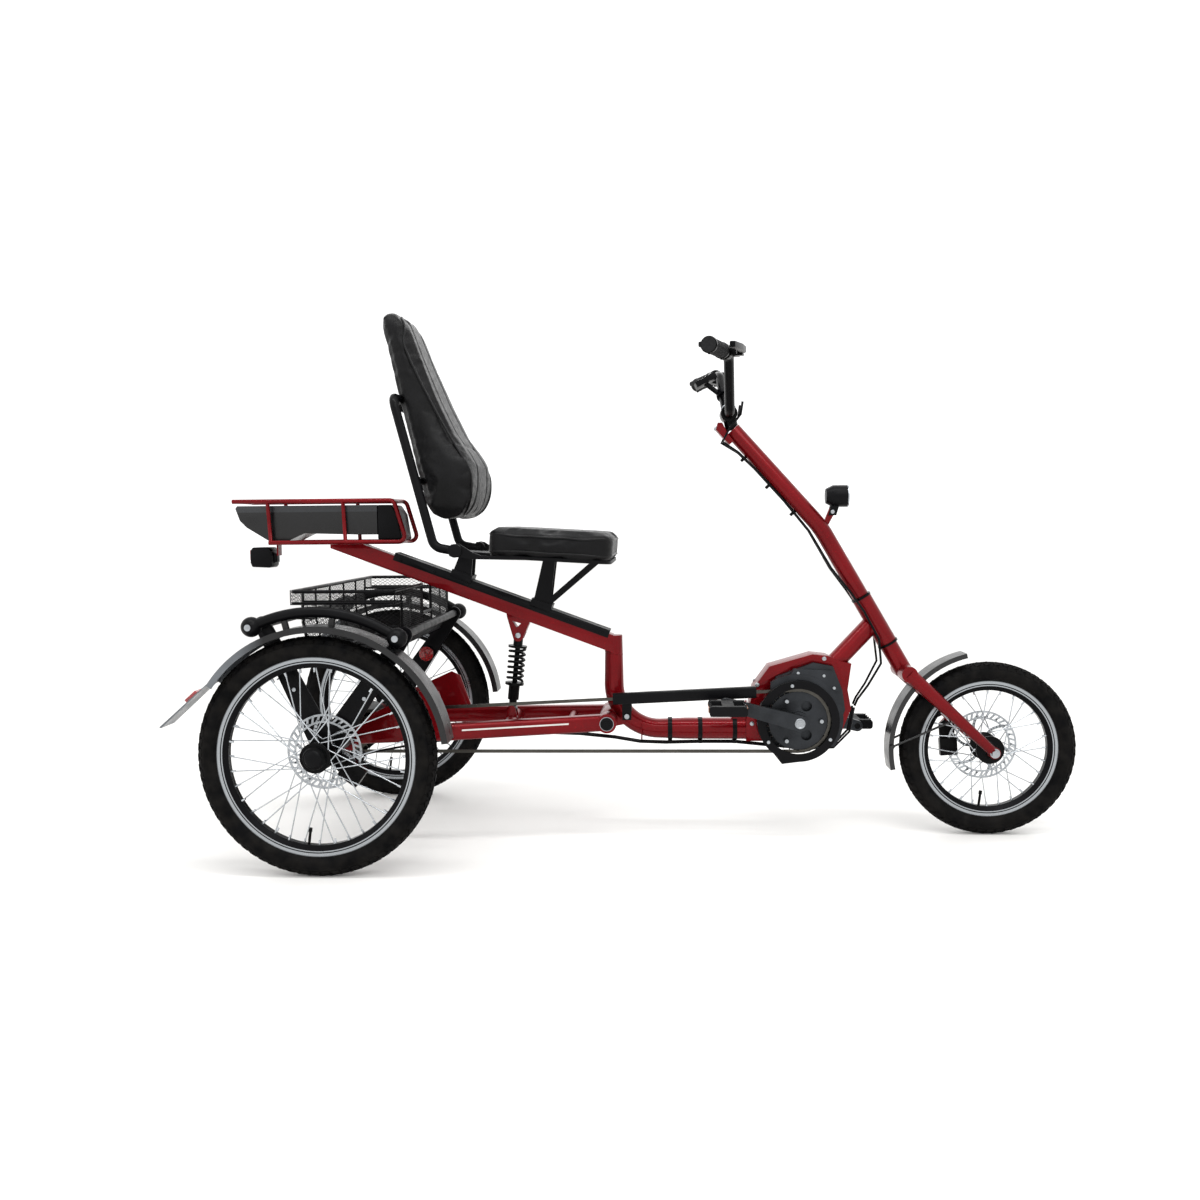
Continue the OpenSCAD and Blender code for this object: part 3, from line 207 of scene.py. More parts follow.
def powder_coat():
    """Black powder coat on steel: satin, with the fine orange peel of baked powder."""
    material, tree, place = start("black powder coated steel")
    peel = add(tree, "TexNoise", {"Vector": place, "Scale": 1000 / 2.2, "Detail": 2.0}, "Fac")
    normal = add(tree, "Bump", {"Height": peel, "Distance": 0.00005})
    satin = uneven(tree, place, 25, 0.36, 0.5)
    return dress(material, blotches(tree, place, colour_of("powder"), 60), satin, normal,
                 specular_ior_level=0.07, coat_weight=0.05, coat_roughness=0.12)


def anodised(name, colour, gloss, squeeze=(0.2, 3.0, 0.2)):
    """Anodised aluminium: an even, dense colour with a soft metal gloss and fine turning marks."""
    material, tree, place = start(name)
    drawn = add(tree, "Mapping", {"Vector": place, "Scale": squeeze})
    marks = add(tree, "TexNoise", {"Vector": drawn, "Scale": 1000 / 1.2, "Detail": 2.0}, "Fac")
    roughness = add(tree, "MapRange", {"Value": marks, "To Min": gloss - 0.07, "To Max": gloss + 0.09})
    normal = add(tree, "Bump", {"Height": marks, "Distance": 0.00001})
    return dress(material, blotches(tree, place, colour, 45, 0.2), roughness, normal, metallic=0.85)


def moulded(name, colour, gloss, grain=1.6, depth=0.06, shine=0.09):
    """Injection-moulded plastic: a spark-eroded grain that breaks up the gloss."""
    material, tree, place = start(name)
    pores = add(tree, "TexVoronoi", {"Vector": place, "Scale": 1000 / grain}, "Distance")
    normal = add(tree, "Bump", {"Height": pores, "Distance": depth / 1000})
    worn = uneven(tree, place, 35, gloss - 0.07, gloss + 0.08)
    return dress(material, blotches(tree, place, colour, 50), worn, normal, specular_ior_level=shine)


def brushed(name, colour, gloss, squeeze):
    """Bare metal with the fine parallel marks that rolling or brushing leaves."""
    material, tree, place = start(name)
    drawn = add(tree, "Mapping", {"Vector": place, "Scale": squeeze})
    marks = add(tree, "TexNoise", {"Vector": drawn, "Scale": 1000 / 1.5, "Detail": 3.0}, "Fac")
    roughness = add(tree, "MapRange", {"Value": marks, "To Min": gloss - 0.08, "To Max": gloss + 0.12})
    normal = add(tree, "Bump", {"Height": marks, "Distance": 0.00002})
    return dress(material, blotches(tree, place, colour, 30, 0.12), roughness, normal, metallic=1.0)


def wheel_rim(wheel):
    """Black anodised rim with two bands turned bright beside the tyre, painted shade along its edge under the
    tyre, and fine turning rings.
    """
    material, tree, place = start("black rim with turned bands " + wheel)
    reach = from_axle(tree, place, wheel)
    rim_top = wheel_facts(wheel)[2] / 1000
    share = add(tree, "MapRange", {"Value": reach, "From Min": rim_top - 0.024, "From Max": rim_top})
    ramp = add(tree, "ValToRGB", {"Fac": share}, "Color")
    bands = ramp.node.color_ramp
    bands.interpolation = "CONSTANT"
    black, bright = colour_of("rim_black"), colour_of("rim_bright")
    bands.elements[0].color = black
    bands.elements[1].position, bands.elements[1].color = 0.42, bright
    # The last band, the outer 3.4 mm under the tyre's bead, is the bright metal darkened to 35%: painted shade
    for position, colour in ((0.52, black), (0.62, bright), (0.86, shade(bright, 0.35))):
        bands.elements.new(position).color = colour
    rings = add(tree, "Math", {0: reach, 1: math.tau * 1000 / 0.8}, operation="MULTIPLY")
    rings = add(tree, "Math", {0: rings}, operation="SINE")
    normal = add(tree, "Bump", {"Height": rings, "Distance": 0.00002})
    return dress(material, ramp, uneven(tree, place, 20, 0.24, 0.36), normal, metallic=0.9)


def tyre_rubber():
    """Carbon-black rubber: dull, a little brown with road dust, and smoother on the sidewall."""
    material, tree, place = start("tyre rubber")
    dust = uneven(tree, place, 28, 0.0, 0.12)
    colour = add(tree, "Mix", {0: dust, 6: blotches(tree, place, colour_of("tyre"), 40), 7: linear("3c3833")},
                 2, data_type="RGBA")
    grit = add(tree, "TexNoise", {"Vector": place, "Scale": 1000 / 1.4, "Detail": 2.0}, "Fac")
    normal = add(tree, "Bump", {"Height": grit, "Distance": 0.0001})
    return dress(material, colour, uneven(tree, place, 9, 0.5, 0.7), normal, specular_ior_level=0.05)


def soft_rubber():
    """Moulded grip rubber: matt, with rows of small diamonds."""
    material, tree, place = start("soft grip rubber")
    turned = add(tree, "Mapping", {"Vector": place, "Rotation": (0.0, 0.0, math.radians(45))})
    # Diamonds of 4 mm, a little coarser than the real 2 mm so that they show
    checks = add(tree, "TexVoronoi", {"Vector": turned, "Scale": 1000 / 4.0}, "Distance",
                 distance="CHEBYCHEV")
    normal = add(tree, "Bump", {"Height": checks, "Distance": 0.00035})
    return dress(material, blotches(tree, place, colour_of("grip"), 20), uneven(tree, place, 6, 0.6, 0.78),
                 normal, specular_ior_level=0.25)


def grained_leather():
    """Black upholstery hide: creased cells between fine pores, with painted shade in the creases, a dull sheen and
    worn highlights.
    """
    material, tree, place = start("black grained leather")
    hide = colour_of("leather")
    jitter = add(tree, "TexNoise", {"Vector": place, "Scale": 160.0}, "Color")
    warped = add(tree, "VectorMath", {0: jitter, 1: (0.0018, 0.0018, 0.0018), 2: place},
                 operation="MULTIPLY_ADD")
    # Cells of 3.2 mm, about twice the real grain, so that they show
    cells = add(tree, "TexVoronoi", {"Vector": warped, "Scale": 1000 / 3.2}, "Distance",
                feature="DISTANCE_TO_EDGE")
    crease = add(tree, "MapRange", {"Value": cells, "From Max": 0.12})
    worn = add(tree, "Mix", {0: uneven(tree, place, 70, 0.0, 0.5), 6: blotches(tree, place, hide, 25),
                             7: shade(hide, 3.0)}, 2, data_type="RGBA")
    # The creases between the cells are painted darker: painted shade
    colour = add(tree, "Mix", {0: crease, 6: shade(hide, 0.4), 7: worn}, 2, data_type="RGBA")
    folds = add(tree, "TexNoise", {"Vector": place, "Scale": 1000 / 26, "Detail": 3.0}, "Fac")
    pores = add(tree, "TexNoise", {"Vector": place, "Scale": 1000 / 0.9, "Detail": 2.0}, "Fac")
    normal = add(tree, "Bump", {"Height": folds, "Distance": 0.0007})
    normal = add(tree, "Bump", {"Height": pores, "Distance": 0.00004, "Normal": normal})
    normal = add(tree, "Bump", {"Height": crease, "Distance": 0.00012, "Normal": normal})
    return dress(material, colour, uneven(tree, place, 12, 0.34, 0.48), normal, specular_ior_level=0.14)


def leather_cord():
    """Welt cord wrapped in the same hide, with the tight lines of its stitching."""
    material, tree, place = start("leather welt cord")
    lines = add(tree, "TexNoise", {"Vector": place, "Scale": 1000 / 1.5, "Detail": 2.0}, "Fac")
    normal = add(tree, "Bump", {"Height": lines, "Distance": 0.00015})
    return dress(material, blotches(tree, place, colour_of("leather"), 8), uneven(tree, place, 4, 0.32, 0.46),
                 normal, specular_ior_level=0.2)


def clear_plastic(name, colour, gloss, through=0.35):
    """Polycarbonate of a lamp or reflector, with the prisms moulded behind its face."""
    material, tree, place = start(name)
    prisms = add(tree, "TexVoronoi", {"Vector": place, "Scale": 1000 / 4.0}, "Distance", distance="MANHATTAN")
    tint = add(tree, "Mix", {0: prisms, 6: colour, 7: shade(colour, 0.35)}, 2, data_type="RGBA")
    normal = add(tree, "Bump", {"Height": prisms, "Distance": 0.00025})
    return dress(material, tint, uneven(tree, place, 20, gloss, gloss + 0.06), normal,
                 transmission_weight=through, ior=1.58, coat_weight=0.8, coat_roughness=0.03)


def screen_glass():
    """The cover glass of the display: near black and glossy, in soft patches of darker and lighter black."""
    material, tree, place = start("display cover glass")
    polish = uneven(tree, place, 40, 0.04, 0.09)
    return dress(material, blotches(tree, place, colour_of("screen"), 30, 0.4), polish, coat_weight=1.0)


def battery_casing():
    """Moulded battery case: black, with a lighter band along its top edge."""
    material, tree, place = start("battery case plastic")
    top = add(tree, "SeparateXYZ", {"Vector": place}, "Z")
    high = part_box("battery_pack")[1].z
    band = add(tree, "MapRange", {"Value": top, "From Min": high - 0.0155, "From Max": high - 0.0145})
    colour = add(tree, "Mix", {0: band, 6: blotches(tree, place, colour_of("plastic"), 50),
                               7: blotches(tree, place, linear("26282b"), 50, 0.1)}, 2, data_type="RGBA")
    pores = add(tree, "TexVoronoi", {"Vector": place, "Scale": 1000 / 1.6}, "Distance")
    normal = add(tree, "Bump", {"Height": pores, "Distance": 0.00005})
    return dress(material, colour, uneven(tree, place, 30, 0.26, 0.38), normal, specular_ior_level=0.4)


def mudguard_shell():
    """Mudguard polypropylene: gloss black, with a silver-grey painted reflection on the part behind the wheel,
    where the flap is grey as well.
    """
    material, tree, place = start("mudguard polypropylene")
    # The part behind the wheel is painted silver grey as a painted reflection, fading out towards the front
    behind = add(tree, "SeparateXYZ", {"Vector": place}, "X")
    first, last = ((TO_ROW @ Vector((x, 0, 0))).x for x in PAINTED_REFLECTION_FADES)
    share = add(tree, "MapRange", {"Value": behind, "From Min": first, "From Max": last, "To Min": 1.0,
                                   "To Max": 0.0})
    colour = add(tree, "Mix", {0: share, 6: blotches(tree, place, colour_of("guard"), 50),
                               7: blotches(tree, place, colour_of("guard_painted_reflection"), 50, 0.12)}, 2,
                 data_type="RGBA")
    pores = add(tree, "TexVoronoi", {"Vector": place, "Scale": 1000 / 2.4}, "Distance")
    normal = add(tree, "Bump", {"Height": pores, "Distance": 0.00003})
    return dress(material, colour, uneven(tree, place, 35, 0.24, 0.36), normal, specular_ior_level=0.4)


def stage_floor():
    """Matt pale studio floor."""
    material, tree, place = start("pale studio floor")
    grain = add(tree, "TexNoise", {"Vector": place, "Scale": 500.0}, "Fac")
    normal = add(tree, "Bump", {"Height": grain, "Distance": 0.00005})
    matt = uneven(tree, place, 300, 0.6, 0.75)
    return dress(material, blotches(tree, place, colour_of("floor"), 900, 0.015), matt, normal,
                 specular_ior_level=0.1)


FINISHES = {}


def finish(name):
    """Each finish is made once, the first time that a piece asks for it."""
    if name not in FINISHES:
        FINISHES[name] = MAKERS[name]()
    return FINISHES[name]


MAKERS = {
    "lacquer": metallic_lacquer,
    "striped": lambda: metallic_lacquer("red lacquer with white stripe", True),
    "powder": powder_coat,
    "black metal": lambda: anodised("black anodised aluminium", linear("050506"), 0.34),
    "grey metal": lambda: anodised("grey cast aluminium", linear("2c2e31"), 0.42),
    "case plastic": lambda: moulded("black moulded ABS", colour_of("plastic"), 0.38),
    "front guard": lambda: moulded("gloss mudguard polypropylene", colour_of("guard"), 0.26, 2.4, 0.03, 0.45),
    "guard": mudguard_shell,
    "pedal plastic": lambda: moulded("pedal nylon", linear("0b0b0d"), 0.5),
    "steel": lambda: brushed("zinc plated steel", linear("a0a4a8"), 0.28, (1.0, 0.2, 1.0)),
    "chain": lambda: brushed("oiled chain steel", linear("4a4844"), 0.34, (0.3, 1.0, 0.3)),
    "disc": lambda: brushed("ground stainless steel", linear("a2a6aa"), 0.24, (1.0, 0.1, 1.0)),
    "spoke": lambda: brushed("drawn stainless spoke", linear("b0b4b8"), 0.22, (0.4, 0.4, 0.4)),
    "tyre": tyre_rubber,
    "grip": soft_rubber,
    "leather": grained_leather,
    "welt": leather_cord,
    "red lens": lambda: clear_plastic("red polycarbonate lens", linear("c01018"), 0.12, 0.2),
    "amber lens": lambda: clear_plastic("amber polycarbonate lens", linear("e07a14"), 0.12),
    "clear lens": lambda: clear_plastic("clear polycarbonate lens", linear("e8ecee"), 0.08, 0.6),
    "screen": screen_glass,
    "battery": battery_casing,
    "cable": lambda: moulded("cable sheath PVC", linear("08080a"), 0.42, 3.0, 0.02),
    "floor": stage_floor,
}
for wheel in WHEELS:
    MAKERS["rim " + wheel] = lambda wheel=wheel: wheel_rim(wheel)

NODE_FINISH = {
    "main_frame": "lacquer", "rear_rack": "lacquer", "fork": "lacquer", "column": "lacquer",
    "swingarm": "striped", "seat_rail": "powder", "headset": "black metal", "wheel_bows": "powder",
    "basket_brackets": "powder", "basket": "powder", "backrest_frame": "powder", "seat_base": "powder",
    "battery_pack": "battery", "battery_dock": "case plastic", "rear_lamp": "red lens",
    "motor_housing": "grey metal", "chain_case": "case plastic", "chain_tube": "case plastic",
    "chain": "chain", "drive_sprocket": "chain", "frame_cables": "cable", "column_cables": "cable",
    "pivot_bolt": "steel", "rear_axle": "black metal", "rear_calipers": "black metal",
    "front_caliper": "black metal", "mudguard_left": "guard", "mudguard_right": "guard",
    "front_mudguard": "front guard", "reflectors": "red lens", "headlamp": "case plastic",
    "stem": "black metal", "handlebar": "black metal", "grips": "grip", "brake_lever_left": "black metal",
    "brake_lever_right": "black metal", "display": "case plastic", "crankset": "grey metal",
    "pedal_left": "pedal plastic", "pedal_right": "pedal plastic", "seat_cushion": "leather",
    "backrest_cushion": "leather", "shock_body": "black metal", "shock_rod": "black metal",
    "shock_spring": "powder",
}
for wheel in WHEELS:
    NODE_FINISH.update({"tyre_" + wheel: "tyre", "rim_" + wheel: "rim " + wheel, "spokes_" + wheel: "spoke",
                        "hub_" + wheel: "black metal", "disc_" + wheel: "disc"})


# ---- Shape helpers: all work in millimetres on a bmesh ----

def make(name, bm, finish_name, body, replaces=(), crease=35, place=TO_ROW):
    """Turns a bmesh into a finished piece that rides on a body."""
    bmesh.ops.recalc_face_normals(bm, faces=bm.faces)
    bmesh.ops.transform(bm, matrix=place, verts=bm.verts)
    mesh = bpy.data.meshes.new(name)
    bm.to_mesh(mesh)
    bm.free()
    mesh.shade_smooth()
    mesh.set_sharp_from_angle(angle=math.radians(crease))
    mesh.materials.append(finish(finish_name))
    piece = bpy.data.objects.new(name, mesh)
    bpy.context.scene.collection.objects.link(piece)
    if body:
        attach(piece, body)
    if replaces:
        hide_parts(*replaces)
    return piece


def block(bm, size, centre, turn=None, bevel=0.0, segments=2):
    """A box with rounded edges."""
    matrix = Matrix.Translation(centre) @ (turn or Matrix()) @ Matrix.Diagonal((*size, 1.0))
    made = bmesh.ops.create_cube(bm, size=1.0, matrix=matrix)["verts"]
    if bevel:
        edges = list({edge for vert in made for edge in vert.link_edges})
        bmesh.ops.bevel(bm, geom=edges, offset=bevel, offset_type="OFFSET", segments=segments, profile=0.5,
                        affect="EDGES", material=-1, clamp_overlap=True)
    return made


def along(direction):
    """A turn that points local +Z along a direction."""
    return Vector(direction).to_track_quat("Z", "Y").to_matrix().to_4x4()


def rod(bm, start, end, diameter, end_diameter=None, sides=24, bevel=0.0):
    """A round bar or a cone between two points."""
    start, end = Vector(start), Vector(end)
    matrix = Matrix.Translation((start + end) / 2) @ along(end - start)
    made = bmesh.ops.create_cone(bm, cap_ends=True, segments=sides, radius1=diameter / 2,
                                 radius2=(end_diameter or diameter) / 2, depth=(end - start).length,
                                 matrix=matrix)["verts"]
    if bevel:
        rims = {edge for vert in made for edge in vert.link_edges
                if any(len(face.verts) > 4 for face in edge.link_faces)}
        bmesh.ops.bevel(bm, geom=list(rims), offset=bevel, offset_type="OFFSET", segments=2, profile=0.5,
                        affect="EDGES", material=-1, clamp_overlap=True)
    return made


def lathe(bm, profile, centre, axis=(0, 1, 0), steps=64, closed=False):
    """Turns a profile of (radius, height) pairs round an axis through the centre."""
    turn = Matrix.Translation(centre) @ along(axis)
    verts = [bm.verts.new(turn @ Vector((radius, 0, height))) for radius, height in profile]
    pairs = list(zip(verts, verts[1:])) + ([(verts[-1], verts[0])] if closed else [])
    edges = [bm.edges.new(pair) for pair in pairs]
    bmesh.ops.spin(bm, geom=verts + edges, cent=centre, axis=axis, angle=math.tau, steps=steps,
                   use_merge=True)
    if not closed:
        bmesh.ops.remove_doubles(bm, verts=bm.verts, dist=0.001)


def collar(bm, inner, outer, low, high, centre, axis=(0, 1, 0), steps=48):
    """A ring of rectangular section round an axis."""
    lathe(bm, [(inner, low), (outer, low), (outer, high), (inner, high)], centre, axis, steps, closed=True)


def copies_round(bm, verts, count):
    """Repeats the shape that has these vertices evenly round the Y axis."""
    edges = {edge for vert in verts for edge in vert.link_edges}
    faces = {face for vert in verts for face in vert.link_faces}
    bmesh.ops.spin(bm, geom=list(verts) + list(edges) + list(faces), cent=(0, 0, 0), axis=(0, 1, 0),
                   angle=math.tau * (count - 1) / count, steps=count - 1, use_duplicate=True)


def soften(bm):
    """Draws each vertex halfway to the middle of its neighbours."""
    bmesh.ops.smooth_vert(bm, verts=bm.verts, factor=0.5, use_axis_x=True, use_axis_y=True, use_axis_z=True)


def tube(bm, points, diameter, sides=16, closed=False):
    """A round tube along points, made by sweeping a curve."""
    curve = bpy.data.curves.new("sweep", "CURVE")
    curve.dimensions = "3D"
    curve.bevel_depth = diameter / 2
    curve.bevel_resolution = max(sides // 4 - 1, 0)
    curve.use_fill_caps = not closed
    spline = curve.splines.new("POLY")
    spline.points.add(len(points) - 1)
    for knot, point in zip(spline.points, points):
        knot.co = (*point, 1.0)
    spline.use_cyclic_u = closed
    sweep = bpy.data.objects.new("sweep", curve)
    mesh = bpy.data.meshes.new_from_object(sweep)
    bm.from_mesh(mesh)
    bpy.data.objects.remove(sweep)
    bpy.data.curves.remove(curve)
    bpy.data.meshes.remove(mesh)


def rounded(points, radius, steps=8, closed=False):
    """Points along a path with each corner rounded."""
    points = [Vector(p) for p in points]
    count = len(points)
    path = [] if closed else [points[0]]
    for i in range(0 if closed else 1, count if closed else count - 1):
        before, corner, after = points[i - 1], points[i], points[(i + 1) % count]
        u, v = (corner - before).normalized(), (after - corner).normalized()
        turn = u.angle(v)
        if turn < 0.01:
            path.append(corner)
            continue
        inward = (v - u * u.dot(v)).normalized()
        centre = corner - u * radius * math.tan(turn / 2) + inward * radius
        path += [centre + radius * (u * math.sin(turn * k / steps) - inward * math.cos(turn * k / steps))
                 for k in range(steps + 1)]
    return path if closed else path + [points[-1]]


def from_node(node):
    """A merged copy of a CAD node, in millimetres."""
    bm = bmesh.new()
    bm.from_mesh(frame["nodes"][node].data)
    bmesh.ops.transform(bm, matrix=TO_MM, verts=bm.verts)
    bmesh.ops.remove_doubles(bm, verts=bm.verts, dist=0.002)
    return bm


def remake(node, finish_name=None, bevel=0.0, segments=3, sharp=30, name=None, crease=35):
    """A CAD node with smooth tubes and rounded edges, standing for the node."""
    bm = from_node(node)
    bmesh.ops.dissolve_limit(bm, angle_limit=math.radians(1.0), verts=bm.verts, edges=bm.edges)
    if bevel:
        edges = [edge for edge in bm.edges if len(edge.link_faces) == 2
                 and edge.calc_face_angle(0) > math.radians(sharp)]
        bmesh.ops.bevel(bm, geom=edges, offset=bevel, offset_type="OFFSET", segments=segments, profile=0.5,
                        affect="EDGES", material=-1, clamp_overlap=True)
    return make(name or node + "_body", bm, finish_name or NODE_FINISH[node], BODY_OF[node],
                (node,), crease)


def bolt(bm, place, axis, diameter=8.0, head=4.0, socket=True):
    """A cap screw's head on a surface, with its hexagon socket."""
    axis = Vector(axis).normalized()
    place = Vector(place)
    rod(bm, place - axis, place + axis * head, diameter, sides=20, bevel=diameter * 0.08)
    if socket:
        rod(bm, place + axis * (head - 0.2), place + axis * (head + 0.25), diameter * 0.5, sides=6)


# ---- Wheels ----

def wheel_facts(wheel):
    """Centre, outer radius, rim radius and tyre width of a wheel."""
    low, high = node_box("tyre_" + wheel)
    radius = (high.z - low.z) / 2
    rim_low, rim_high = node_box("rim_" + wheel)
    return (low + high) / 2, radius, (rim_high.z - rim_low.z) / 2, (high.y - low.y)


def build_tyre(wheel, sizes):
    """A balloon tyre: ribbed sidewalls and five rows of tread blocks."""
    centre, radius, _, width = wheel_facts(wheel)
    depth, pitch = sizes.tread_depth * 1000, sizes.tread_pitch * 1000
    bm = bmesh.new()
    core = radius - width / 2
    outer = width / 2
    profile = []
    for a in range(-144, 145, 6):
        wall = outer - (depth if abs(a) < 62 else 0.25)
        wall += 0.25 if abs(a) in (78, 84, 108, 126) else 0.0
        profile.append((core + wall * math.cos(math.radians(a)), wall * math.sin(math.radians(a))))
    inside = outer - 3.5
    profile += [(core + inside * math.cos(math.radians(a)), inside * math.sin(math.radians(a)))
                for a in range(144, -145, -24)]
    lathe(bm, profile, (0, 0, 0), steps=112, closed=True)
    count = round(math.tau * radius / pitch)
    reach = outer - depth / 2 - 0.6
    for row, (a, lean) in enumerate(((-54, 0), (-28, 24), (0, 0), (28, -24), (54, 0))):
        tilt = math.radians(a)
        turn = Matrix.Rotation(math.pi * (row % 2) / count, 4, "Y") @ Matrix.Translation(
            (core + reach * math.cos(tilt), reach * math.sin(tilt), 0)) @ Matrix.Rotation(tilt, 4, "Z") \
            @ Matrix.Rotation(math.radians(lean), 4, "X")
        size = (depth + 1.0, 9.0 if row != 2 else 7.0, pitch * (0.62 if row % 2 else 0.7))
        made = bmesh.ops.create_cube(bm, size=1.0, matrix=turn @ Matrix.Diagonal((*size, 1.0)))["verts"]
        copies_round(bm, made, count)
    bmesh.ops.translate(bm, verts=bm.verts, vec=centre)
    make("tyre_tread_" + wheel, bm, "tyre", "wheel_" + wheel, ("tyre_" + wheel,), crease=40)


def build_wheel_trim(wheel, count):
    """Spoke nipples and the valve."""
    centre, _, rim_top, _ = wheel_facts(wheel)
    bm = bmesh.new()
    # The rim's bed lies 24.5 mm inside its edge
    inner = rim_top - 24.5
    for k, side in ((0, 4.5), (1, -4.5), (2, 1.0), (3, -1.0)):
        angle = math.tau * k / count
        out = Vector((math.cos(angle), 0, math.sin(angle)))
        foot = out * (inner - 9) + Vector((0, side * 1.25, 0))
        head = out * (inner + 0.5) + Vector((0, side, 0))
        copies_round(bm, rod(bm, foot, head, 4.2, 5.6, sides=8), count // 4)
    bmesh.ops.translate(bm, verts=bm.verts, vec=centre)
    make("spoke_nipples_" + wheel, bm, "spoke", "wheel_" + wheel)
    bm = bmesh.new()
    angle = math.radians(-97)
    out = Vector((math.cos(angle), 0, math.sin(angle)))
    rod(bm, centre + out * (inner - 26), centre + out * (inner + 1), 6, sides=12)
    rod(bm, centre + out * (inner - 34), centre + out * (inner - 25), 8, sides=12, bevel=1.0)
    make("valve_" + wheel, bm, "case plastic", "wheel_" + wheel)


def build_disc(wheel):
    """A brake disc: two rings joined by slanted bars, and six curved arms to the hub."""
    low, high = node_box("disc_" + wheel)
    centre, thickness = (low + high) / 2, high.y - low.y
    half = thickness / 2
    bm = bmesh.new()
    for inner, outer in ((75.5, (high.z - low.z) / 2), (61.0, 65.0), (14.0, 24.0)):
        collar(bm, inner, outer, -half, half, (0, 0, 0), steps=96)
    for radius, length, width, lean, count in ((70.2, 16.0, 4.6, 28, 36), (66.4, 5.0, 3.4, -30, 18)):
        turn = Matrix.Rotation(math.radians(lean), 4, "Y")
        copies_round(bm, block(bm, (length, thickness * 0.96, width), (radius, 0, 0), turn), count)
    arm = [Vector((20 + 43 * k / 8, 0, 9 * math.sin(math.pi * k / 8) - 2.5 * k)) for k in range(9)]
    made = []
    for a, b in zip(arm, arm[1:]):
        way = b - a
        made += block(bm, (way.length + 1.6, thickness * 0.9, 6.5), (a + b) / 2,
                      Matrix.Rotation(-math.atan2(way.z, way.x), 4, "Y"))
    copies_round(bm, made, 6)
    bmesh.ops.translate(bm, verts=bm.verts, vec=centre)
    make("disc_rotor_" + wheel, bm, "disc", "wheel_" + wheel, ("disc_" + wheel,))


def build_hub_caps():
    """Domed caps on the outer ends of the rear hubs, and nuts on the front axle."""
    for wheel, side in (("left", 1), ("right", -1)):
        centre = wheel_facts(wheel)[0]
        bm = bmesh.new()
        face = centre + Vector((0, side * 31.0, 0))
        lathe(bm, [(0, 5.0), (7, 4.6), (13, 3.2), (17.5, 0.6), (19, -2.5), (19, -5), (0, -5)], face,
              axis=(0, side, 0), steps=40)
        for k in range(5):
            angle = math.tau * k / 5
            spot = face + Vector((11.5 * math.cos(angle), side * 2.5, 11.5 * math.sin(angle)))
            bolt(bm, spot, (0, side, 0), 3.2, 1.2, False)
        make("hub_cap_" + wheel, bm, "case plastic", "wheel_" + wheel)
    centre = wheel_facts("front")[0]
    bm = bmesh.new()
    for side in (-1, 1):
        face = centre + Vector((0, side * 64, 0))
        rod(bm, face - Vector((0, side * 0.5, 0)), face + Vector((0, side * 2, 0)), 22, sides=28)
        rod(bm, face + Vector((0, side * 2, 0)), face + Vector((0, side * 9, 0)), 18, sides=6, bevel=0.8)
    make("front_axle_nuts", bm, "steel", "steering")


# ---- Basket ----

def mesh_panel(bm, origin, across, up, width, height, cell=(13.0, 8.5), cuts=()):
    """Expanded metal on a flat rectangle: diamonds, cut back to the planes given as (point, normal)."""
    origin, across, up = Vector(origin), Vector(across).normalized(), Vector(up).normalized()
    normal = across.cross(up)
    sheet = bmesh.new()
    columns, rows = (max(round(span / pitch), 2) for span, pitch in zip((width, height), cell))
    bmesh.ops.create_grid(sheet, x_segments=columns, y_segments=rows, size=0.5)
    grid_edges = [edge for edge in sheet.edges if not edge.is_boundary]
    bmesh.ops.poke(sheet, faces=sheet.faces)
    bmesh.ops.dissolve_edges(sheet, edges=grid_edges, use_verts=False)
    matrix = Matrix((across, up, normal)).transposed().to_4x4()
    matrix.translation = origin
    bmesh.ops.transform(sheet, matrix=matrix @ Matrix.Diagonal((width, height, 1, 1))
                        @ Matrix.Translation((0.5, 0.5, 0)), verts=sheet.verts)
    for point, normal_out in cuts:
        bmesh.ops.bisect_plane(sheet, geom=sheet.verts[:] + sheet.edges[:] + sheet.faces[:], dist=0.01,
                               plane_co=point, plane_no=normal_out, clear_outer=True)
    bmesh.ops.wireframe(sheet, faces=sheet.faces, thickness=1.3, offset=0.0, use_replace=True,
                        use_boundary=True, use_even_offset=False)
    copy = bpy.data.meshes.new("panel")
    sheet.to_mesh(copy)
    sheet.free()
    bm.from_mesh(copy)
    bpy.data.meshes.remove(copy)


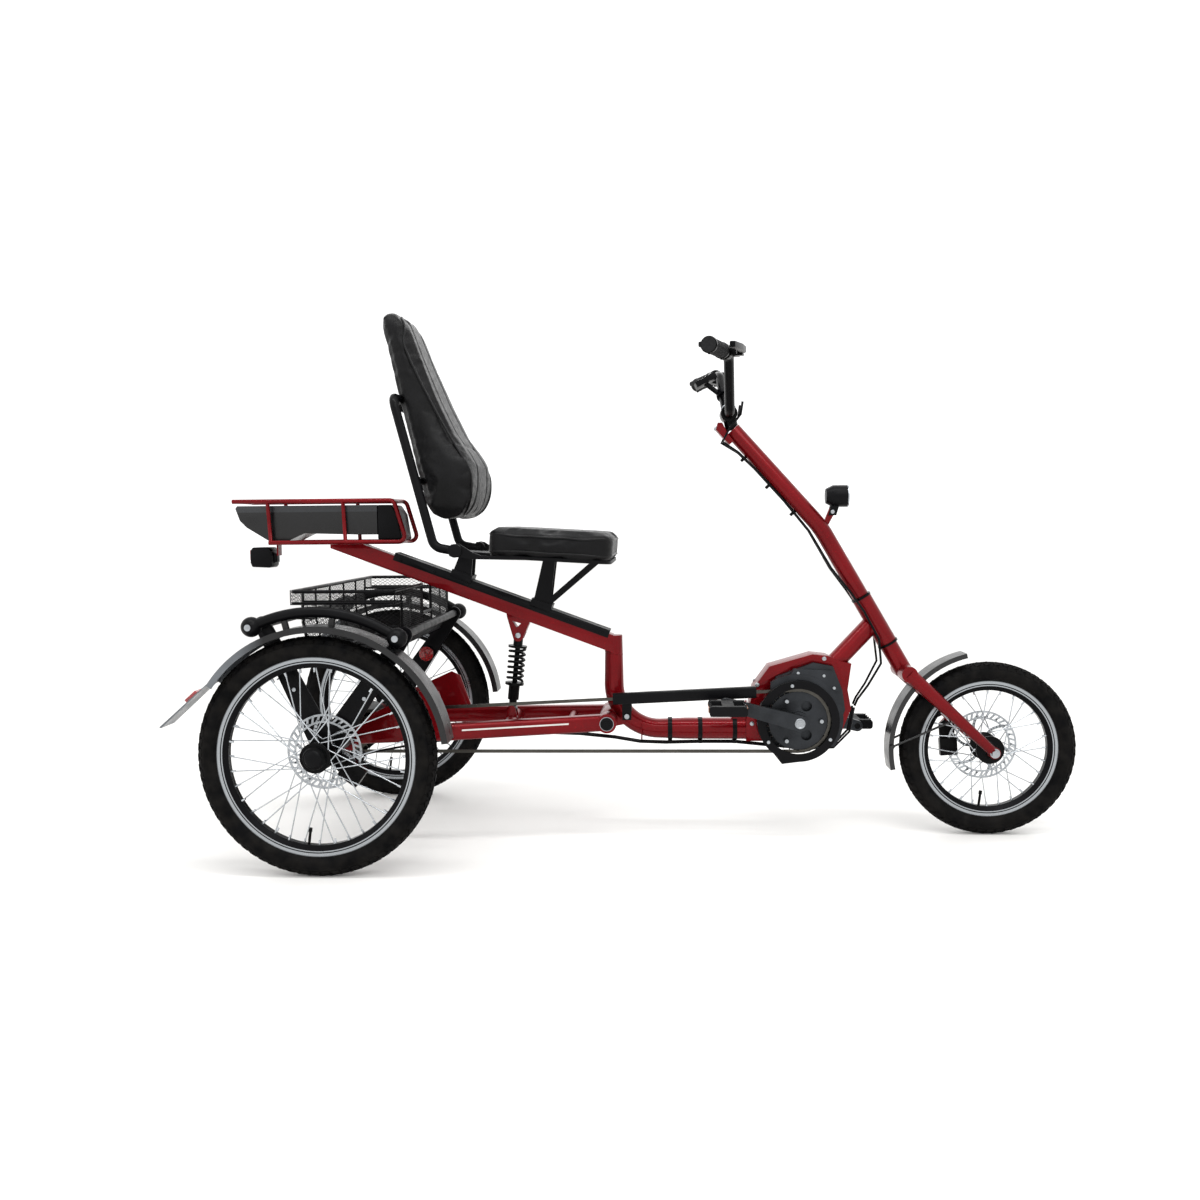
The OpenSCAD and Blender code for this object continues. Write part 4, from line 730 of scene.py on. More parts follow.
def build_basket():
    """The basket: expanded-metal walls and floor between bent steel rods, and wings over the wheels."""
    low, high = node_box("basket")
    half = 250.0
    rear, front = -57.0, high.x
    rim, floor, wing = high.z, low.z, 560.0
    knee_front, knee_rear = floor + 40, floor + 60
    bm = bmesh.new()
    mesh_panel(bm, (rear + 12, -half, floor + 1), (1, 0, 0), (0, 1, 0), front - 22 - rear - 12, 2 * half)
    mesh_panel(bm, (rear + 1, -half, knee_rear), (0, 1, 0), (0, 0, 1), 2 * half, rim - knee_rear)
    slope = Vector((-12, 0, 60))
    mesh_panel(bm, (rear + 13, -half, floor + 1), (0, 1, 0), slope, 2 * half, slope.length)
    slope = Vector((22, 0, 40))
    mesh_panel(bm, (front - 23, -half, floor + 1), (0, 1, 0), slope, 2 * half, slope.length)
    for y in (-half, 46.0):
        mesh_panel(bm, (front - 1, y, knee_front), (0, 1, 0), (0, 0, 1), half - 46, rim - knee_front)
    mesh_panel(bm, (front - 1, -46, knee_front), (0, 1, 0), (0, 0, 1), 92, 21)
    for side in (-1, 1):
        knees = ((Vector((rear, 0, knee_rear)), Vector((-60, 0, -12))),
                 (Vector((front, 0, knee_front)), Vector((40, 0, -22))))
        mesh_panel(bm, (rear, side * (half - 1), floor), (1, 0, 0), (0, 0, 1), front - rear,
                   wing + 3 - floor, cuts=knees)
        edge = 0.5 * (high.y - low.y)
        mesh_panel(bm, (rear, side * half, wing + 2), (1, 0, 0), (0, side, 0), front - rear, edge - half)
        mesh_panel(bm, (rear, side * (edge - 1.5), wing + 2), (1, 0, 0), (0, 0, 1), front - rear,
                   rim - wing - 2)
        for x in (rear + 1, front - 1):
            mesh_panel(bm, (x, side * half, wing + 2), (0, side, 0), (0, 0, 1), edge - half, rim - wing - 2)
    make("basket_mesh", bm, "powder", "swingarm", ("basket",), crease=60)

    bm = bmesh.new()
    edge = 0.5 * (high.y - low.y) - 3.5
    top = rim - 3.5
    notch = 46.0 + 3.5
    notch_z = 523
    x0, x1 = rear + 3.5, front - 3.5

    def hoop(y, front_top):
        """A rod's path under the basket at y, from its front edge to its rear edge."""
        return [(x1, y, front_top), (x1, y, knee_front), (x1 - 21, y, floor + 3.5), (x0 + 11, y, floor + 3.5),
                (x0, y, knee_rear), (x0, y, top)]

    ring = [(x1, notch, notch_z), (x1, notch, top), (x1, edge, top), (x0, edge, top), (x0, -edge, top),
            (x1, -edge, top), (x1, -notch, top), (x1, -notch, notch_z)]
    tube(bm, rounded(ring, 9, closed=True), 7, sides=12, closed=True)
    for side in (-1, 1):
        tube(bm, rounded(hoop(side * (half - 3), top), 9), 5, sides=12)
        tube(bm, [(x0, side * (half - 1), wing + 4), (x1, side * (half - 1), wing + 4)], 5, sides=12)
        tube(bm, [(x0, side * edge, wing + 5), (x1, side * edge, wing + 5)], 5, sides=12)
    for y in (-160, -55, 55, 160):
        tube(bm, rounded(hoop(y, notch_z if abs(y) < 60 else top), 9), 4.5, sides=12)
    for x in (20, 92):
        tube(bm, [(x, -half + 3, floor + 3.5), (x, half - 3, floor + 3.5)], 4.5, sides=12)
    for y in (-140, 140):
        block(bm, (56, 20, 4), (-92, y, 519), bevel=1)
    make("basket_rods", bm, "powder", "swingarm", crease=40)


# ---- Seat and backrest ----

# A distance in millimetres that is far beyond any seam's reach
OFF_SEAM = 1000.0


def inflate(piece, cap, pressure=4.0, frames=20):
    """Fills a closed cover with Blender's cloth, and lets no point move further than cap metres."""
    scene = bpy.context.scene
    rest = [vert.co.copy() for vert in piece.data.vertices]
    cloth = piece.modifiers.new("filling", "CLOTH")
    cloth.settings.use_pressure = True
    cloth.settings.uniform_pressure_force = pressure
    cloth.settings.effector_weights.gravity = 0.0
    cloth.settings.quality = 5
    cloth.point_cache.frame_start = 1
    cloth.point_cache.frame_end = frames
    for number in range(1, frames + 1):
        scene.frame_set(number)
    shown = piece.evaluated_get(bpy.context.evaluated_depsgraph_get())
    puffed = [vert.co.copy() for vert in shown.data.vertices]
    piece.modifiers.remove(cloth)
    for vert, start, end in zip(piece.data.vertices, rest, puffed):
        move = end - start
        vert.co = start + (move.normalized() * min(move.length, cap) if move.length > 0 else move)
    scene.frame_set(1)
    piece.data.update()


def apply_all(piece):
    """Applies the piece's modifiers to its mesh."""
    shown = piece.evaluated_get(bpy.context.evaluated_depsgraph_get())
    mesh = bpy.data.meshes.new_from_object(shown)
    piece.modifiers.clear()
    piece.data = mesh
    return piece


def pad_blank(name, node, shrink, voxel=0.005, rounds=14):
    """A smooth blank for a cushion: the node's solid, drawn in a little, remeshed and rounded."""
    bm = from_node(node)
    centre = middle(node)
    bmesh.ops.translate(bm, verts=bm.verts, vec=-centre)
    bmesh.ops.scale(bm, verts=bm.verts, vec=shrink)
    bmesh.ops.translate(bm, verts=bm.verts, vec=centre)
    blank = make(name, bm, "leather", None)
    remesh = blank.modifiers.new("voxels", "REMESH")
    remesh.mode = "VOXEL"
    remesh.voxel_size = voxel
    apply_all(blank)
    bm = bmesh.new()
    bm.from_mesh(blank.data)
    for _ in range(rounds):
        soften(bm)
    bm.to_mesh(blank.data)
    bm.free()
    return blank


def sew(piece, depth, width, distance_to_seam):
    """Draws the cover in along a seam: distance_to_seam gives each point's distance, in millimetres."""
    mesh = piece.data
    normals = [vert.normal.copy() for vert in mesh.vertices]
    for vert, normal in zip(mesh.vertices, normals):
        away = distance_to_seam(TO_MM @ vert.co, normal)
        if away < 3 * width:
            vert.co -= normal * (depth / 1000) * math.exp(-(away / width) ** 2)
    mesh.update()


def on_surface(tree, points, lift):
    """Points moved onto a surface, and lift millimetres above it."""
    placed = []
    for point in points:
        hit, normal, _, _ = tree.find_nearest(TO_ROW @ Vector(point))
        placed.append(TO_MM @ (hit + normal * lift / 1000))
    return placed


def surface_of(piece):
    bm = bmesh.new()
    bm.from_mesh(piece.data)
    tree = BVHTree.FromBMesh(bm)
    bm.free()
    return tree


def finish_pad(piece, node):
    piece.data.shade_smooth()
    if not piece.data.materials:
        piece.data.materials.append(finish("leather"))
    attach(piece, BODY_OF[node])
    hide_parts(node)


def smooth_loop(points, rounds=3):
    """Evens out a closed run of points."""
    for _ in range(rounds):
        points = [(points[i - 1] + 2 * p + points[(i + 1) % len(points)]) / 4 for i, p in enumerate(points)]
    return points


def stitch(bm, line):
    """Short threads between every other pair of points."""
    for start, end in zip(line[0::2], line[1::2]):
        tube(bm, [start, end], 1.1, sides=4)


def build_seat_cushion(sizes):
    """The seat pad: a crowned leather cushion with a sewn centre panel and a welt round its top edge."""
    low, high = node_box("seat_cushion")
    pad = pad_blank("seat_pad", "seat_cushion", (0.985, 0.985, 0.97), rounds=6)
    inflate(pad, 0.009)
    centre = middle("seat_cushion")
    half_x, half_y = (high.x - low.x) / 2, (high.y - low.y) / 2
    # The sewn panel ends at this y on both sides and at this x in front
    panel_y, panel_x = 0.56 * half_y, centre.x + 0.62 * half_x

    def panel_seam(point, normal):
        """The distance from the panel's seam, on the top of the pad only."""
        if normal.z < 0.35:
            return OFF_SEAM
        away_y = abs(abs(point.y) - panel_y)
        away_x = abs(point.x - panel_x)
        return min(away_y, away_x if abs(point.y) < panel_y else OFF_SEAM)
    sew(pad, 3.2, 4.5, panel_seam)
    finish_pad(pad, "seat_cushion")
    tree = surface_of(pad)
    for name, height in (("seat_welt_top", 0.86), ("seat_welt_low", 0.14)):
        bm = bmesh.new()
        ring = []
        for k in range(120):
            angle = math.tau * k / 120
            c, s = math.cos(angle), math.sin(angle)
            reach = (abs(c / half_x) ** 5 + abs(s / half_y) ** 5) ** (-1 / 5)
            x, y = centre.x + reach * c, reach * s
            tilt = -math.tan(sizes.seat_pitch) * (x - centre.x)
            ring.append((x, y, centre.z + tilt + (height - 0.5) * sizes.seat_thickness * 1000))
        tube(bm, smooth_loop(on_surface(tree, ring, 0.8)), sizes.welt_diameter * 1000, sides=12, closed=True)
        make(name, bm, "welt", BODY_OF["seat_cushion"], crease=60)
    bm = bmesh.new()
    for side in (-1, 1):
        row = [Vector((x, side * panel_y, high.z)) for x in range(int(low.x) + 24, int(panel_x), 4)]
        stitch(bm, on_surface(tree, row, 0.35))
    cross = [Vector((panel_x, y, high.z)) for y in range(int(-panel_y), int(panel_y), 4)]
    stitch(bm, on_surface(tree, cross, 0.35))
    make("seat_stitches", bm, "welt", BODY_OF["seat_cushion"], crease=60)


def build_back_cushion(sizes):
    """The backrest: a tall leather pad with two bolsters, a raised middle and welts along its edges."""
    node = "backrest_cushion"
    low, high = node_box(node)
    pad = pad_blank("back_pad", node, (0.96, 0.98, 0.99), rounds=6)
    inflate(pad, 0.010)
    height = high.z - low.z
    # The bolsters begin at this share of the pad's half width
    bolster = 0.44

    def half_width(z):
        """Half of the pad's width at a height."""
        share = min(max((z - low.z) / height, 0.0), 1.0)
        return (high.y - low.y) / 2 * (1.0 - 0.32 * max(share - 0.28, 0.0) / 0.72)

    def bolster_seam(point, normal):
        """The distance from the seam beside a bolster, on the front of the pad only."""
        return OFF_SEAM if normal.x < 0.2 else abs(abs(point.y) - bolster * half_width(point.z))

    def lumbar_seam(point, normal):
        """The distance from the seam that crosses the middle panel."""
        inside = normal.x > 0.2 and abs(point.y) < bolster * half_width(point.z)
        return abs(point.z - (low.z + 0.36 * height)) if inside else OFF_SEAM
    sew(pad, 4.0, 5.0, bolster_seam)
    sew(pad, 2.6, 4.0, lumbar_seam)
    finish_pad(pad, node)
    tree = surface_of(pad)
    front = high.x + 20
    bm = bmesh.new()
    outline = []
    for k in range(160):
        angle = math.tau * k / 160
        c, s = math.cos(angle), math.sin(angle)
        z = (low.z + high.z) / 2 + height / 2 * math.copysign(abs(s) ** 0.35, s)
        y = half_width(z) * math.copysign(abs(c) ** 0.35, c)
        outline.append((y, z))
    ring = []
    for y, z in outline:
        start = TO_ROW @ Vector((front + 60, y * 0.93, low.z + 16 + (z - low.z) * (height - 32) / height))
        hit, normal, _, _ = tree.ray_cast(start, Vector((-1, 0, 0)))
        if hit is not None:
            ring.append(TO_MM @ (hit + normal * 0.0008))
    tube(bm, smooth_loop(ring, 4), sizes.welt_diameter * 1000, sides=12, closed=True)
    make("back_welt", bm, "welt", BODY_OF[node], crease=60)
    bm = bmesh.new()
    for side in (-1, 1):
        row = []
        for z in range(int(low.z) + 22, int(high.z) - 22, 4):
            start = TO_ROW @ Vector((front + 60, side * bolster * half_width(z), z))
            hit, normal, _, _ = tree.ray_cast(start, Vector((-1, 0, 0)))
            if hit is not None:
                row.append(TO_MM @ (hit + normal * 0.0004))
        stitch(bm, row)
    make("back_stitches", bm, "welt", BODY_OF[node], crease=60)


# ---- Controls ----

def build_grips():
    """Ergonomic grips: a ribbed sleeve, a wide palm rest and clamp rings at both ends."""
    for side, hand in ((-1, "right"), (1, "left")):
        knee, end = (Vector((place.x, side * place.y, place.z)) for place in (HANDLE_KNEE, HANDLE_END))
        way = (end - knee).normalized()
        start = knee + way * 58
        length = (end - start).length
        bm = bmesh.new()
        profile = [(11.2, 0), (16.2, 0), (16.4, 6)]
        count = 11
        for k in range(count):
            z = 8 + (length - 20) * k / count
            step = (length - 20) / count
            profile += [(15.0, z + 0.1 * step), (16.2, z + 0.3 * step), (16.2, z + 0.75 * step),
                        (15.0, z + 0.95 * step)]
        profile += [(15.6, length - 10), (15.8, length - 2), (14.8, length + 0.5), (0, length + 0.8)]
        lathe(bm, profile, start, axis=way, steps=40)
        make("grip_sleeve_" + hand, bm, "grip", "handlebar", crease=50)
        bm = bmesh.new()
        bmesh.ops.create_cube(bm, size=1.0)
        bmesh.ops.subdivide_edges(bm, edges=bm.edges[:], cuts=3, use_grid_fill=True)
        back = way.cross(Vector((0, 0, 1))) * (1 if way.cross(Vector((0, 0, 1))).x < 0 else -1)
        turn = Matrix((back.normalized(), way, back.normalized().cross(way))).transposed().to_4x4()
        turn.translation = end - way * 24 + back.normalized() * 11 + Vector((0, 0, 2))
        for vert in bm.verts:
            taper = 1.0 - 0.35 * (0.5 - vert.co.y)
            depth = 16 - 5 * (vert.co.x + 0.5)
            vert.co = Vector((vert.co.x * 26 * taper, vert.co.y * 44, vert.co.z * depth))
        soften(bm)
        bmesh.ops.transform(bm, matrix=turn, verts=bm.verts)
        rest = make("grip_palm_rest_" + hand, bm, "grip", "handlebar", crease=180)
        rounding = rest.modifiers.new("rounding", "SUBSURF")
        rounding.levels = rounding.render_levels = 2
        bm = bmesh.new()
        for reach in (-1.0, length - 9):
            rod(bm, start + way * reach, start + way * (reach + 8), 34.5, sides=36, bevel=0.8)
            bolt(bm, start + way * (reach + 4) + Vector((0, 0, -17)), (0, 0, -1), 5, 2)
        ring = make("grip_clamps_" + hand, bm, "black metal", "handlebar")
        if side > 0:
            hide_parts("grips")


def build_display():
    """The display: a rounded case with its cover glass and three keys."""
    remake("display", "case plastic", bevel=3.0, name="display_case")
    tilt = Matrix.Rotation(math.radians(-28), 4, "Y")
    bm = bmesh.new()
    face = DISPLAY_CASE + tilt @ Vector((0, 0, 7.3))
    block(bm, (42, 52, 1.2), face, tilt, bevel=0.5)
    make("display_glass", bm, "screen", "handlebar")
    bm = bmesh.new()
    for k in (-1, 0, 1):
        block(bm, (6, 9, 2.0), DISPLAY_CASE + tilt @ Vector((-21.5, k * 13, 6.6)), tilt, bevel=0.7)
    make("display_keys", bm, "grip", "handlebar")


def build_lamps():
    """The headlamp's reflector and lens, and the rear lamp's case and clear window."""
    high = node_box("headlamp")[1]
    centre = Vector((high.x, 0, high.z - 25))
    bm = bmesh.new()
    lathe(bm, [(24.6, -2.5), (25.4, -2.2), (25.4, 0.4), (22.0, 0.9), (21.8, -1.0), (24.6, -2.5)], centre,
          axis=(1, 0, 0))
    make("headlamp_bezel", bm, "steel", "headlamp")
    bm = bmesh.new()
    lathe(bm, [(0, 2.6), (8, 2.2), (15, 1.2), (21.8, -0.6), (21.8, -1.6), (0, -1.6)], centre,
          axis=(1, 0, 0))
    make("headlamp_lens", bm, "clear lens", "headlamp")
    remake("rear_lamp", "case plastic", bevel=3.0, name="rear_lamp_case")
    low = node_box("rear_lamp")[0]
    bm = bmesh.new()
    block(bm, (3, 44, 24), (low.x - 0.2, 0, low.z + 30), bevel=1.2)
    make("rear_lamp_lens", bm, "red lens", "frame")
    bm = bmesh.new()
    block(bm, (2.6, 30, 6), (low.x - 0.4, 0, low.z + 13), bevel=1.0)
    make("rear_lamp_window", bm, "clear lens", "frame")


# ---- Drive ----

def chain_path():
    """The chain's pitch line: round the sprocket and the chainring, and straight between them."""
    ring, cog = CRANK, COG
    reach = ring - cog
    lean = math.atan2(reach.z, reach.x)
    bend = math.acos((COG_R - RING_R) / reach.length)
    points = []
    for centre, radius, first, last in ((ring, RING_R, lean - bend, lean + bend),
                                        (cog, COG_R, lean + bend, lean + math.tau - bend)):
        steps = 24
        for k in range(steps + 1):
            angle = first + (last - first) * k / steps
            points.append(Vector((centre.x + radius * math.cos(angle), CHAIN_Y,
                                  centre.z + radius * math.sin(angle))))
    return points


def spaced(points, gap):
    """Points one link apart round a closed path, and the way of the path at each."""
    closed = points + [points[0]]
    total = sum((b - a).length for a, b in zip(closed, closed[1:]))
    count = round(total / gap)
    step = total / count
    placed, left = [], 0.0
    for a, b in zip(closed, closed[1:]):
        length = (b - a).length
        while left < length - 1e-6:
            placed.append((a + (b - a) * left / length, (b - a).normalized()))
            left += step
        left -= length
    return placed


def build_chain():
    """The chain's own links: outer and inner plates and rollers."""
    bm = bmesh.new()
    places = spaced(chain_path(), 12.7)
    for number, (point, way) in enumerate(places):
        turn = Matrix.Rotation(-math.atan2(way.z, way.x), 4, "Y")
        outer = number % 2
        for side in (-1, 1):
            at = point + way * 6.35 + Vector((0, side * (3.1 if outer else 2.2), 0))
            block(bm, (18.5, 0.9, 6.6 if outer else 7.0), at, turn, bevel=0.0)
        rod(bm, point - Vector((0, 3.4, 0)), point + Vector((0, 3.4, 0)), 4.6, sides=8)
    chain = make("chain_links", bm, "chain", None)
    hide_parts("chain")
    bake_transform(chain)


def build_drive_trim():
    """Bolts of the chain case and motor, the crank's caps, the teeth of the chainring and the sprocket."""
    case_y = node_box("chain_case")[0].y
    remake("chain_case", bevel=1.6, segments=3)
    remake("chain_tube", bevel=1.0)
    bm = bmesh.new()
    for angle in (100, 215, 330):
        a = math.radians(angle)
        bolt(bm, CRANK + Vector((82 * math.cos(a), case_y, 82 * math.sin(a))), (0, -1, 0), 8, 2.2)
    make("chain_case_bolts", bm, "steel", "frame")
    remake("motor_housing", bevel=2.5)
    bm = bmesh.new()
    motor_y = node_box("motor_housing")[0].y + 3.4
    for x, z in ((1078, 376), (1101, 348), (1020, 382)):
        bolt(bm, (x, motor_y, z), (0, -1, 0), 7, 2.0)
    for x, z in ((960, 250), (964, 300), (984, 360), (1040, 390), (1090, 386), (1112, 330), (1116, 290),
                 (1098, 250)):
        bolt(bm, (x, 45.8, z), (0, 1, 0), 6.5, 2.4)
    for x, z in ((1000, 240), (1060, 232), (1010, 330), (1075, 330)):
        block(bm, (26, 3, 5), (x, 46.5, z), bevel=0.8)
    make("motor_bolts", bm, "steel", "frame")
    bm = bmesh.new()
    lathe(bm, [(0, 2.4), (30, 2.4), (33, 1.4), (34, -1), (0, -1)], (CRANK.x, 46, CRANK.z), steps=64)
    make("motor_left_cover", bm, "case plastic", "frame")
    remake("crankset", bevel=2.4, segments=3)
    bm = bmesh.new()
    crank_low, crank_high = node_box("crankset")
    for y, side in ((crank_low.y, -1), (crank_high.y, 1)):
        lathe(bm, [(0, 0.5), (8, 0.5), (9.5, 1.6), (11, 1.6), (12, 0.4), (12, -1), (0, -1)],
              (CRANK.x, y, CRANK.z), axis=(0, side, 0), steps=32)
        rod(bm, (CRANK.x, y, CRANK.z), (CRANK.x, y + side * 1.6, CRANK.z), 8, sides=6)
    for angle in (0, 120, 240):
        a = math.radians(angle)
        bolt(bm, CRANK + Vector((52 * math.cos(a), -83.4, 52 * math.sin(a))), (0, -1, 0), 9, 2)
    make("crank_caps", bm, "steel", "crank")
    for name, centre, radius, count, body in (("chainring_teeth", CRANK, RING_R, 34, "crank"),
                                              ("sprocket_teeth", COG, COG_R, 22, "cog")):
        bm = bmesh.new()
        made = bmesh.ops.create_cone(bm, cap_ends=True, segments=6, radius1=3.2, radius2=1.2, depth=5.5,
                                     matrix=Matrix.Translation((radius - 1.2, 0, 0)) @ along((1, 0, 0))
                                     @ Matrix.Diagonal((1, 0.5, 1, 1)))["verts"]
        copies_round(bm, made, count)
        bmesh.ops.translate(bm, verts=bm.verts, vec=Vector((centre.x, CHAIN_Y, centre.z)))
        make(name, bm, "chain", body)


def build_pedals():
    """Pedals with rounded cages, grip pins and amber side reflectors."""
    for side in ("left", "right"):
        node = "pedal_" + side
        low, high = node_box(node)
        remake(node, bevel=1.8, segments=2)
        sign = 1 if side == "left" else -1
        # The cage is the outer 94 mm; the pin beyond it runs into the crank arm
        outer = high.y if sign > 0 else low.y
        centre = Vector(((low.x + high.x) / 2, outer - sign * 47, (low.z + high.z) / 2))
        bm = bmesh.new()
        for sx in (-1, 1):
            for k in range(4):
                for sz in (-1, 1):
                    spot = centre + Vector((sx * 37, (k - 1.5) * 22, sz * 10.6))
                    rod(bm, spot, spot + Vector((0, 0, sz * 2.4)), 4.0, 2.8, sides=8)
        make("pedal_pins_" + side, bm, "pedal plastic", "pedal_" + side)
        bm = bmesh.new()
        for sx in (-1, 1):
            block(bm, (2.4, 52, 11), centre + Vector((sx * 41.2, 0, 0)), bevel=0.8)
        make("pedal_reflectors_" + side, bm, "amber lens", "pedal_" + side)


# ---- Frame trim ----

def build_smooth_parts():
    """CAD nodes whose tubes are drawn smooth and whose edges are rounded, shape for shape."""
    for node, bevel in (("column", 1.0), ("handlebar", 0.6), ("backrest_frame", 0.5), ("rear_rack", 0.0),
                        ("battery_pack", 4.0), ("battery_dock", 4.0), ("stem", 1.6), ("brake_lever_left", 1.6),
                        ("brake_lever_right", 1.6), ("rear_calipers", 1.5), ("front_caliper", 1.5),
                        ("seat_rail", 0.5), ("headlamp", 1.2), ("basket_brackets", 0.8), ("main_frame", 1.0),
                        ("swingarm", 0.8), ("seat_base", 0.6), ("shock_body", 0.8), ("shock_rod", 0.8)):
        remake(node, bevel=bevel)
    for node, first, second, start, end in (
            ("frame_cables", "frame", "swingarm", (640, 0, 240), (300, 0, 240)),
            ("column_cables", "frame", "steering", (1156, 0, 300), (1210, 0, 420)),
            ("shock_spring", "shock_upper", "shock_lower", tuple(SPRING_TOP), tuple(SPRING_FOOT))):
        bm = from_node(node)
        piece = make(node + "_smooth", bm, NODE_FINISH[node], None, (), crease=60)
        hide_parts(node)
        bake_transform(piece)


def build_bolts():
    """Screws and caps over the frame, the carrier, the seat and the steering."""
    bm = bmesh.new()
    plate_y = node_box("basket_brackets")[1].y - 0.3
    for side in (-1, 1):
        y = side * plate_y
        for x, z in ((0, 250), (-14, 262), (14, 262), (60, 206), (84, 360), (-66, 380)):
            bolt(bm, (x, y, z), (0, side, 0), 9 if x else 14, 3.2 if x else 4.5)
        for x, z in ((171.5, 495.0), (-131.0, 518.8)):
            bolt(bm, (x, side * 366.2, z), (0, side, 0), 14, 2.4)
    make("carrier_bolts", bm, "steel", "swingarm")
    bm = bmesh.new()
    for side in (-1, 1):
        pivot = middle("pivot_bolt")
        y = side * (node_box("pivot_bolt")[1].y)
        lathe(bm, [(0, 3.0), (6, 3.0), (6, 1.0), (12, 1.0), (15, 0.2), (15, -1), (0, -1)],
              (pivot.x, y, pivot.z), axis=(0, side, 0), steps=40)
    make("pivot_caps", bm, "case plastic", "swingarm")
    bm = bmesh.new()
    for side in (-1, 1):
        for x, z in ((1082, 412), (930, 352), (918, 262), (1092, 232)):
            bolt(bm, (x, side * 31.8, z), (0, side, 0), 10, 3.6)
        bolt(bm, SHOCK_TOP + Vector((0, side * 14.8, 0)), (0, side, 0), 13, 3.6)
    bolt(bm, (631, -65.8, 284), (0, -1, 0), 12, 3.0)
    make("frame_bolts", bm, "steel", "frame")
    bm = bmesh.new()
    for y in (-11, 11):
        bolt(bm, COLUMN_TOP + Vector((-37.8, y, 4)), (-1, 0, 0.1), 8, 3.5)
    for side in (1, -1):
        bolt(bm, LAMP_PIVOT + Vector((0, side * 12, 0)), (0, side, 0), 9, 2.6)
    make("column_bolts", bm, "steel", "steering")
    bm = bmesh.new()
    for y in (-19, 19):
        for s in (-1, 1):
            bolt(bm, CLAMP + Vector((s * 11, y, 15.0)), (s * 0.6, 0, 0.8), 7, 3)
    make("stem_bolts", bm, "steel", "steering")


def build_clips():
    """Clips that hold the hoses under the column and along the low tube."""
    bm = bmesh.new()
    for share in (0.22, 0.5, 0.78):
        spot = COLUMN_BEND.lerp(COLUMN_TOP, share)
        way = (COLUMN_TOP - COLUMN_BEND).normalized()
        below = way.cross(Vector((0, 1, 0))).normalized()
        below = below if below.z < 0 else -below
        turn = along(way) @ Matrix.Rotation(math.pi / 2, 4, "Y")
        block(bm, (7, 21, 8), spot + below * 22.5, turn, bevel=1.0)
    make("column_clips", bm, "case plastic", "steering")
    bm = bmesh.new()
    for x in (730, 800, 880):
        collar(bm, 25.2, 26.4, -5, 5, (x, 0, 245), (1, 0, 0))
        block(bm, (10, 26, 8), (x, 0, 215.5), bevel=1.5)
    make("tube_clips", bm, "case plastic", "frame")


def build_welds():
    """Weld beads where the frame's tubes meet."""
    bm = bmesh.new()
    for centre, axis, radius in (((600, 0, 424), (0.2, 0, 1), 20.6), ((664, 0, 245), (1, 0, 0), 25.4)):
        centre, axis = Vector(centre), Vector(axis).normalized()
        turn = Matrix.Translation(centre) @ along(axis)
        ring = [turn @ Vector((radius * math.cos(a), radius * math.sin(a), 0.5 * math.sin(40 * a)))
                for a in (math.tau * k / 160 for k in range(160))]
        tube(bm, ring, 2.6, sides=8, closed=True)
    make("weld_beads", bm, "lacquer", "frame", crease=180)


def build_reflectors():
    """Round and square reflectors with a dark rim round each lens."""
    remake("reflectors", "red lens", bevel=1.0, name="reflector_lenses")
    bm = bmesh.new()
    for side in (-1, 1):
        centre = Vector((171.5 * 170 / 299, side * 278, 250 + 244.9 * 170 / 299))
        collar(bm, 19, 20.2, -4.9, -0.4, centre, (0, side, 0))
    make("reflector_rims", bm, "case plastic", BODY_OF["reflectors"])


# Key places on the tricycle, in millimetres
CRANK = TO_MM @ Vector(next(j["pos_m"] for j in frame["joints"] if j["name"] == "crank_spin"))
CRANK.y = 0
COG = middle("rear_axle")
COG.y = 0
CHAIN_Y = -72.0
RING_R, COG_R = 70.0, 46.0
RAIL_FRONT, RAIL_REAR = Vector((590, 67, 271)), Vector((240, 118, 259))
STRIPE_WIDTH, STRIPE_LIFT, STRIPE_ENDS = 3.6, 4, (262, 500)
# Where the painted reflection on the rear mudguards fades out, in millimetres along X
PAINTED_REFLECTION_FADES = (-150, -95)
CLAMP = Vector((866.8, 0, 971.7))
HANDLE_KNEE = CLAMP + Vector((-10, 170, 111))
HANDLE_END = CLAMP + Vector((-60, 325, 107))
DISPLAY_CASE = CLAMP + Vector((-47.2, 112, 89.3))
COLUMN_BEND = Vector((1076.5, 0, 712.7))
COLUMN_TOP = Vector((875.8, 0, 935.7))
LAMP_PIVOT = COLUMN_BEND + Vector((26, 0, 34))
SHOCK_TOP, SHOCK_LOW = Vector((377, 0, 466)), Vector((359, 0, 290))
SPRING_TOP = SHOCK_TOP.lerp(SHOCK_LOW, 33 / 176.9)
SPRING_FOOT = SHOCK_TOP.lerp(SHOCK_LOW, 110 / 176.9)


# ---- Stage ----

# Name, place and aim in millimetres, width and height in metres, watts
LAMPS = (
    ("key", (1500, -2600, 3000), (500, 0, 500), (2.4, 1.2), 30),
    ("fill", (-2200, -1800, 1800), (300, 0, 500), (2.0, 2.0), 8),
    ("back", (600, 2600, 2600), (500, 0, 600), (2.6, 1.4), 22),
    ("strip", (500, -900, 3300), (550, 0, 400), (3.2, 0.25), 42),
)
WORLD_STRENGTH = 1.3
CAMERA_PLACE = (705.7, -2544.9, 723.4)
# Yaw, pitch and roll in degrees from a level view along +Y
CAMERA_TURNS = (-3.088, -3.965, -0.51)


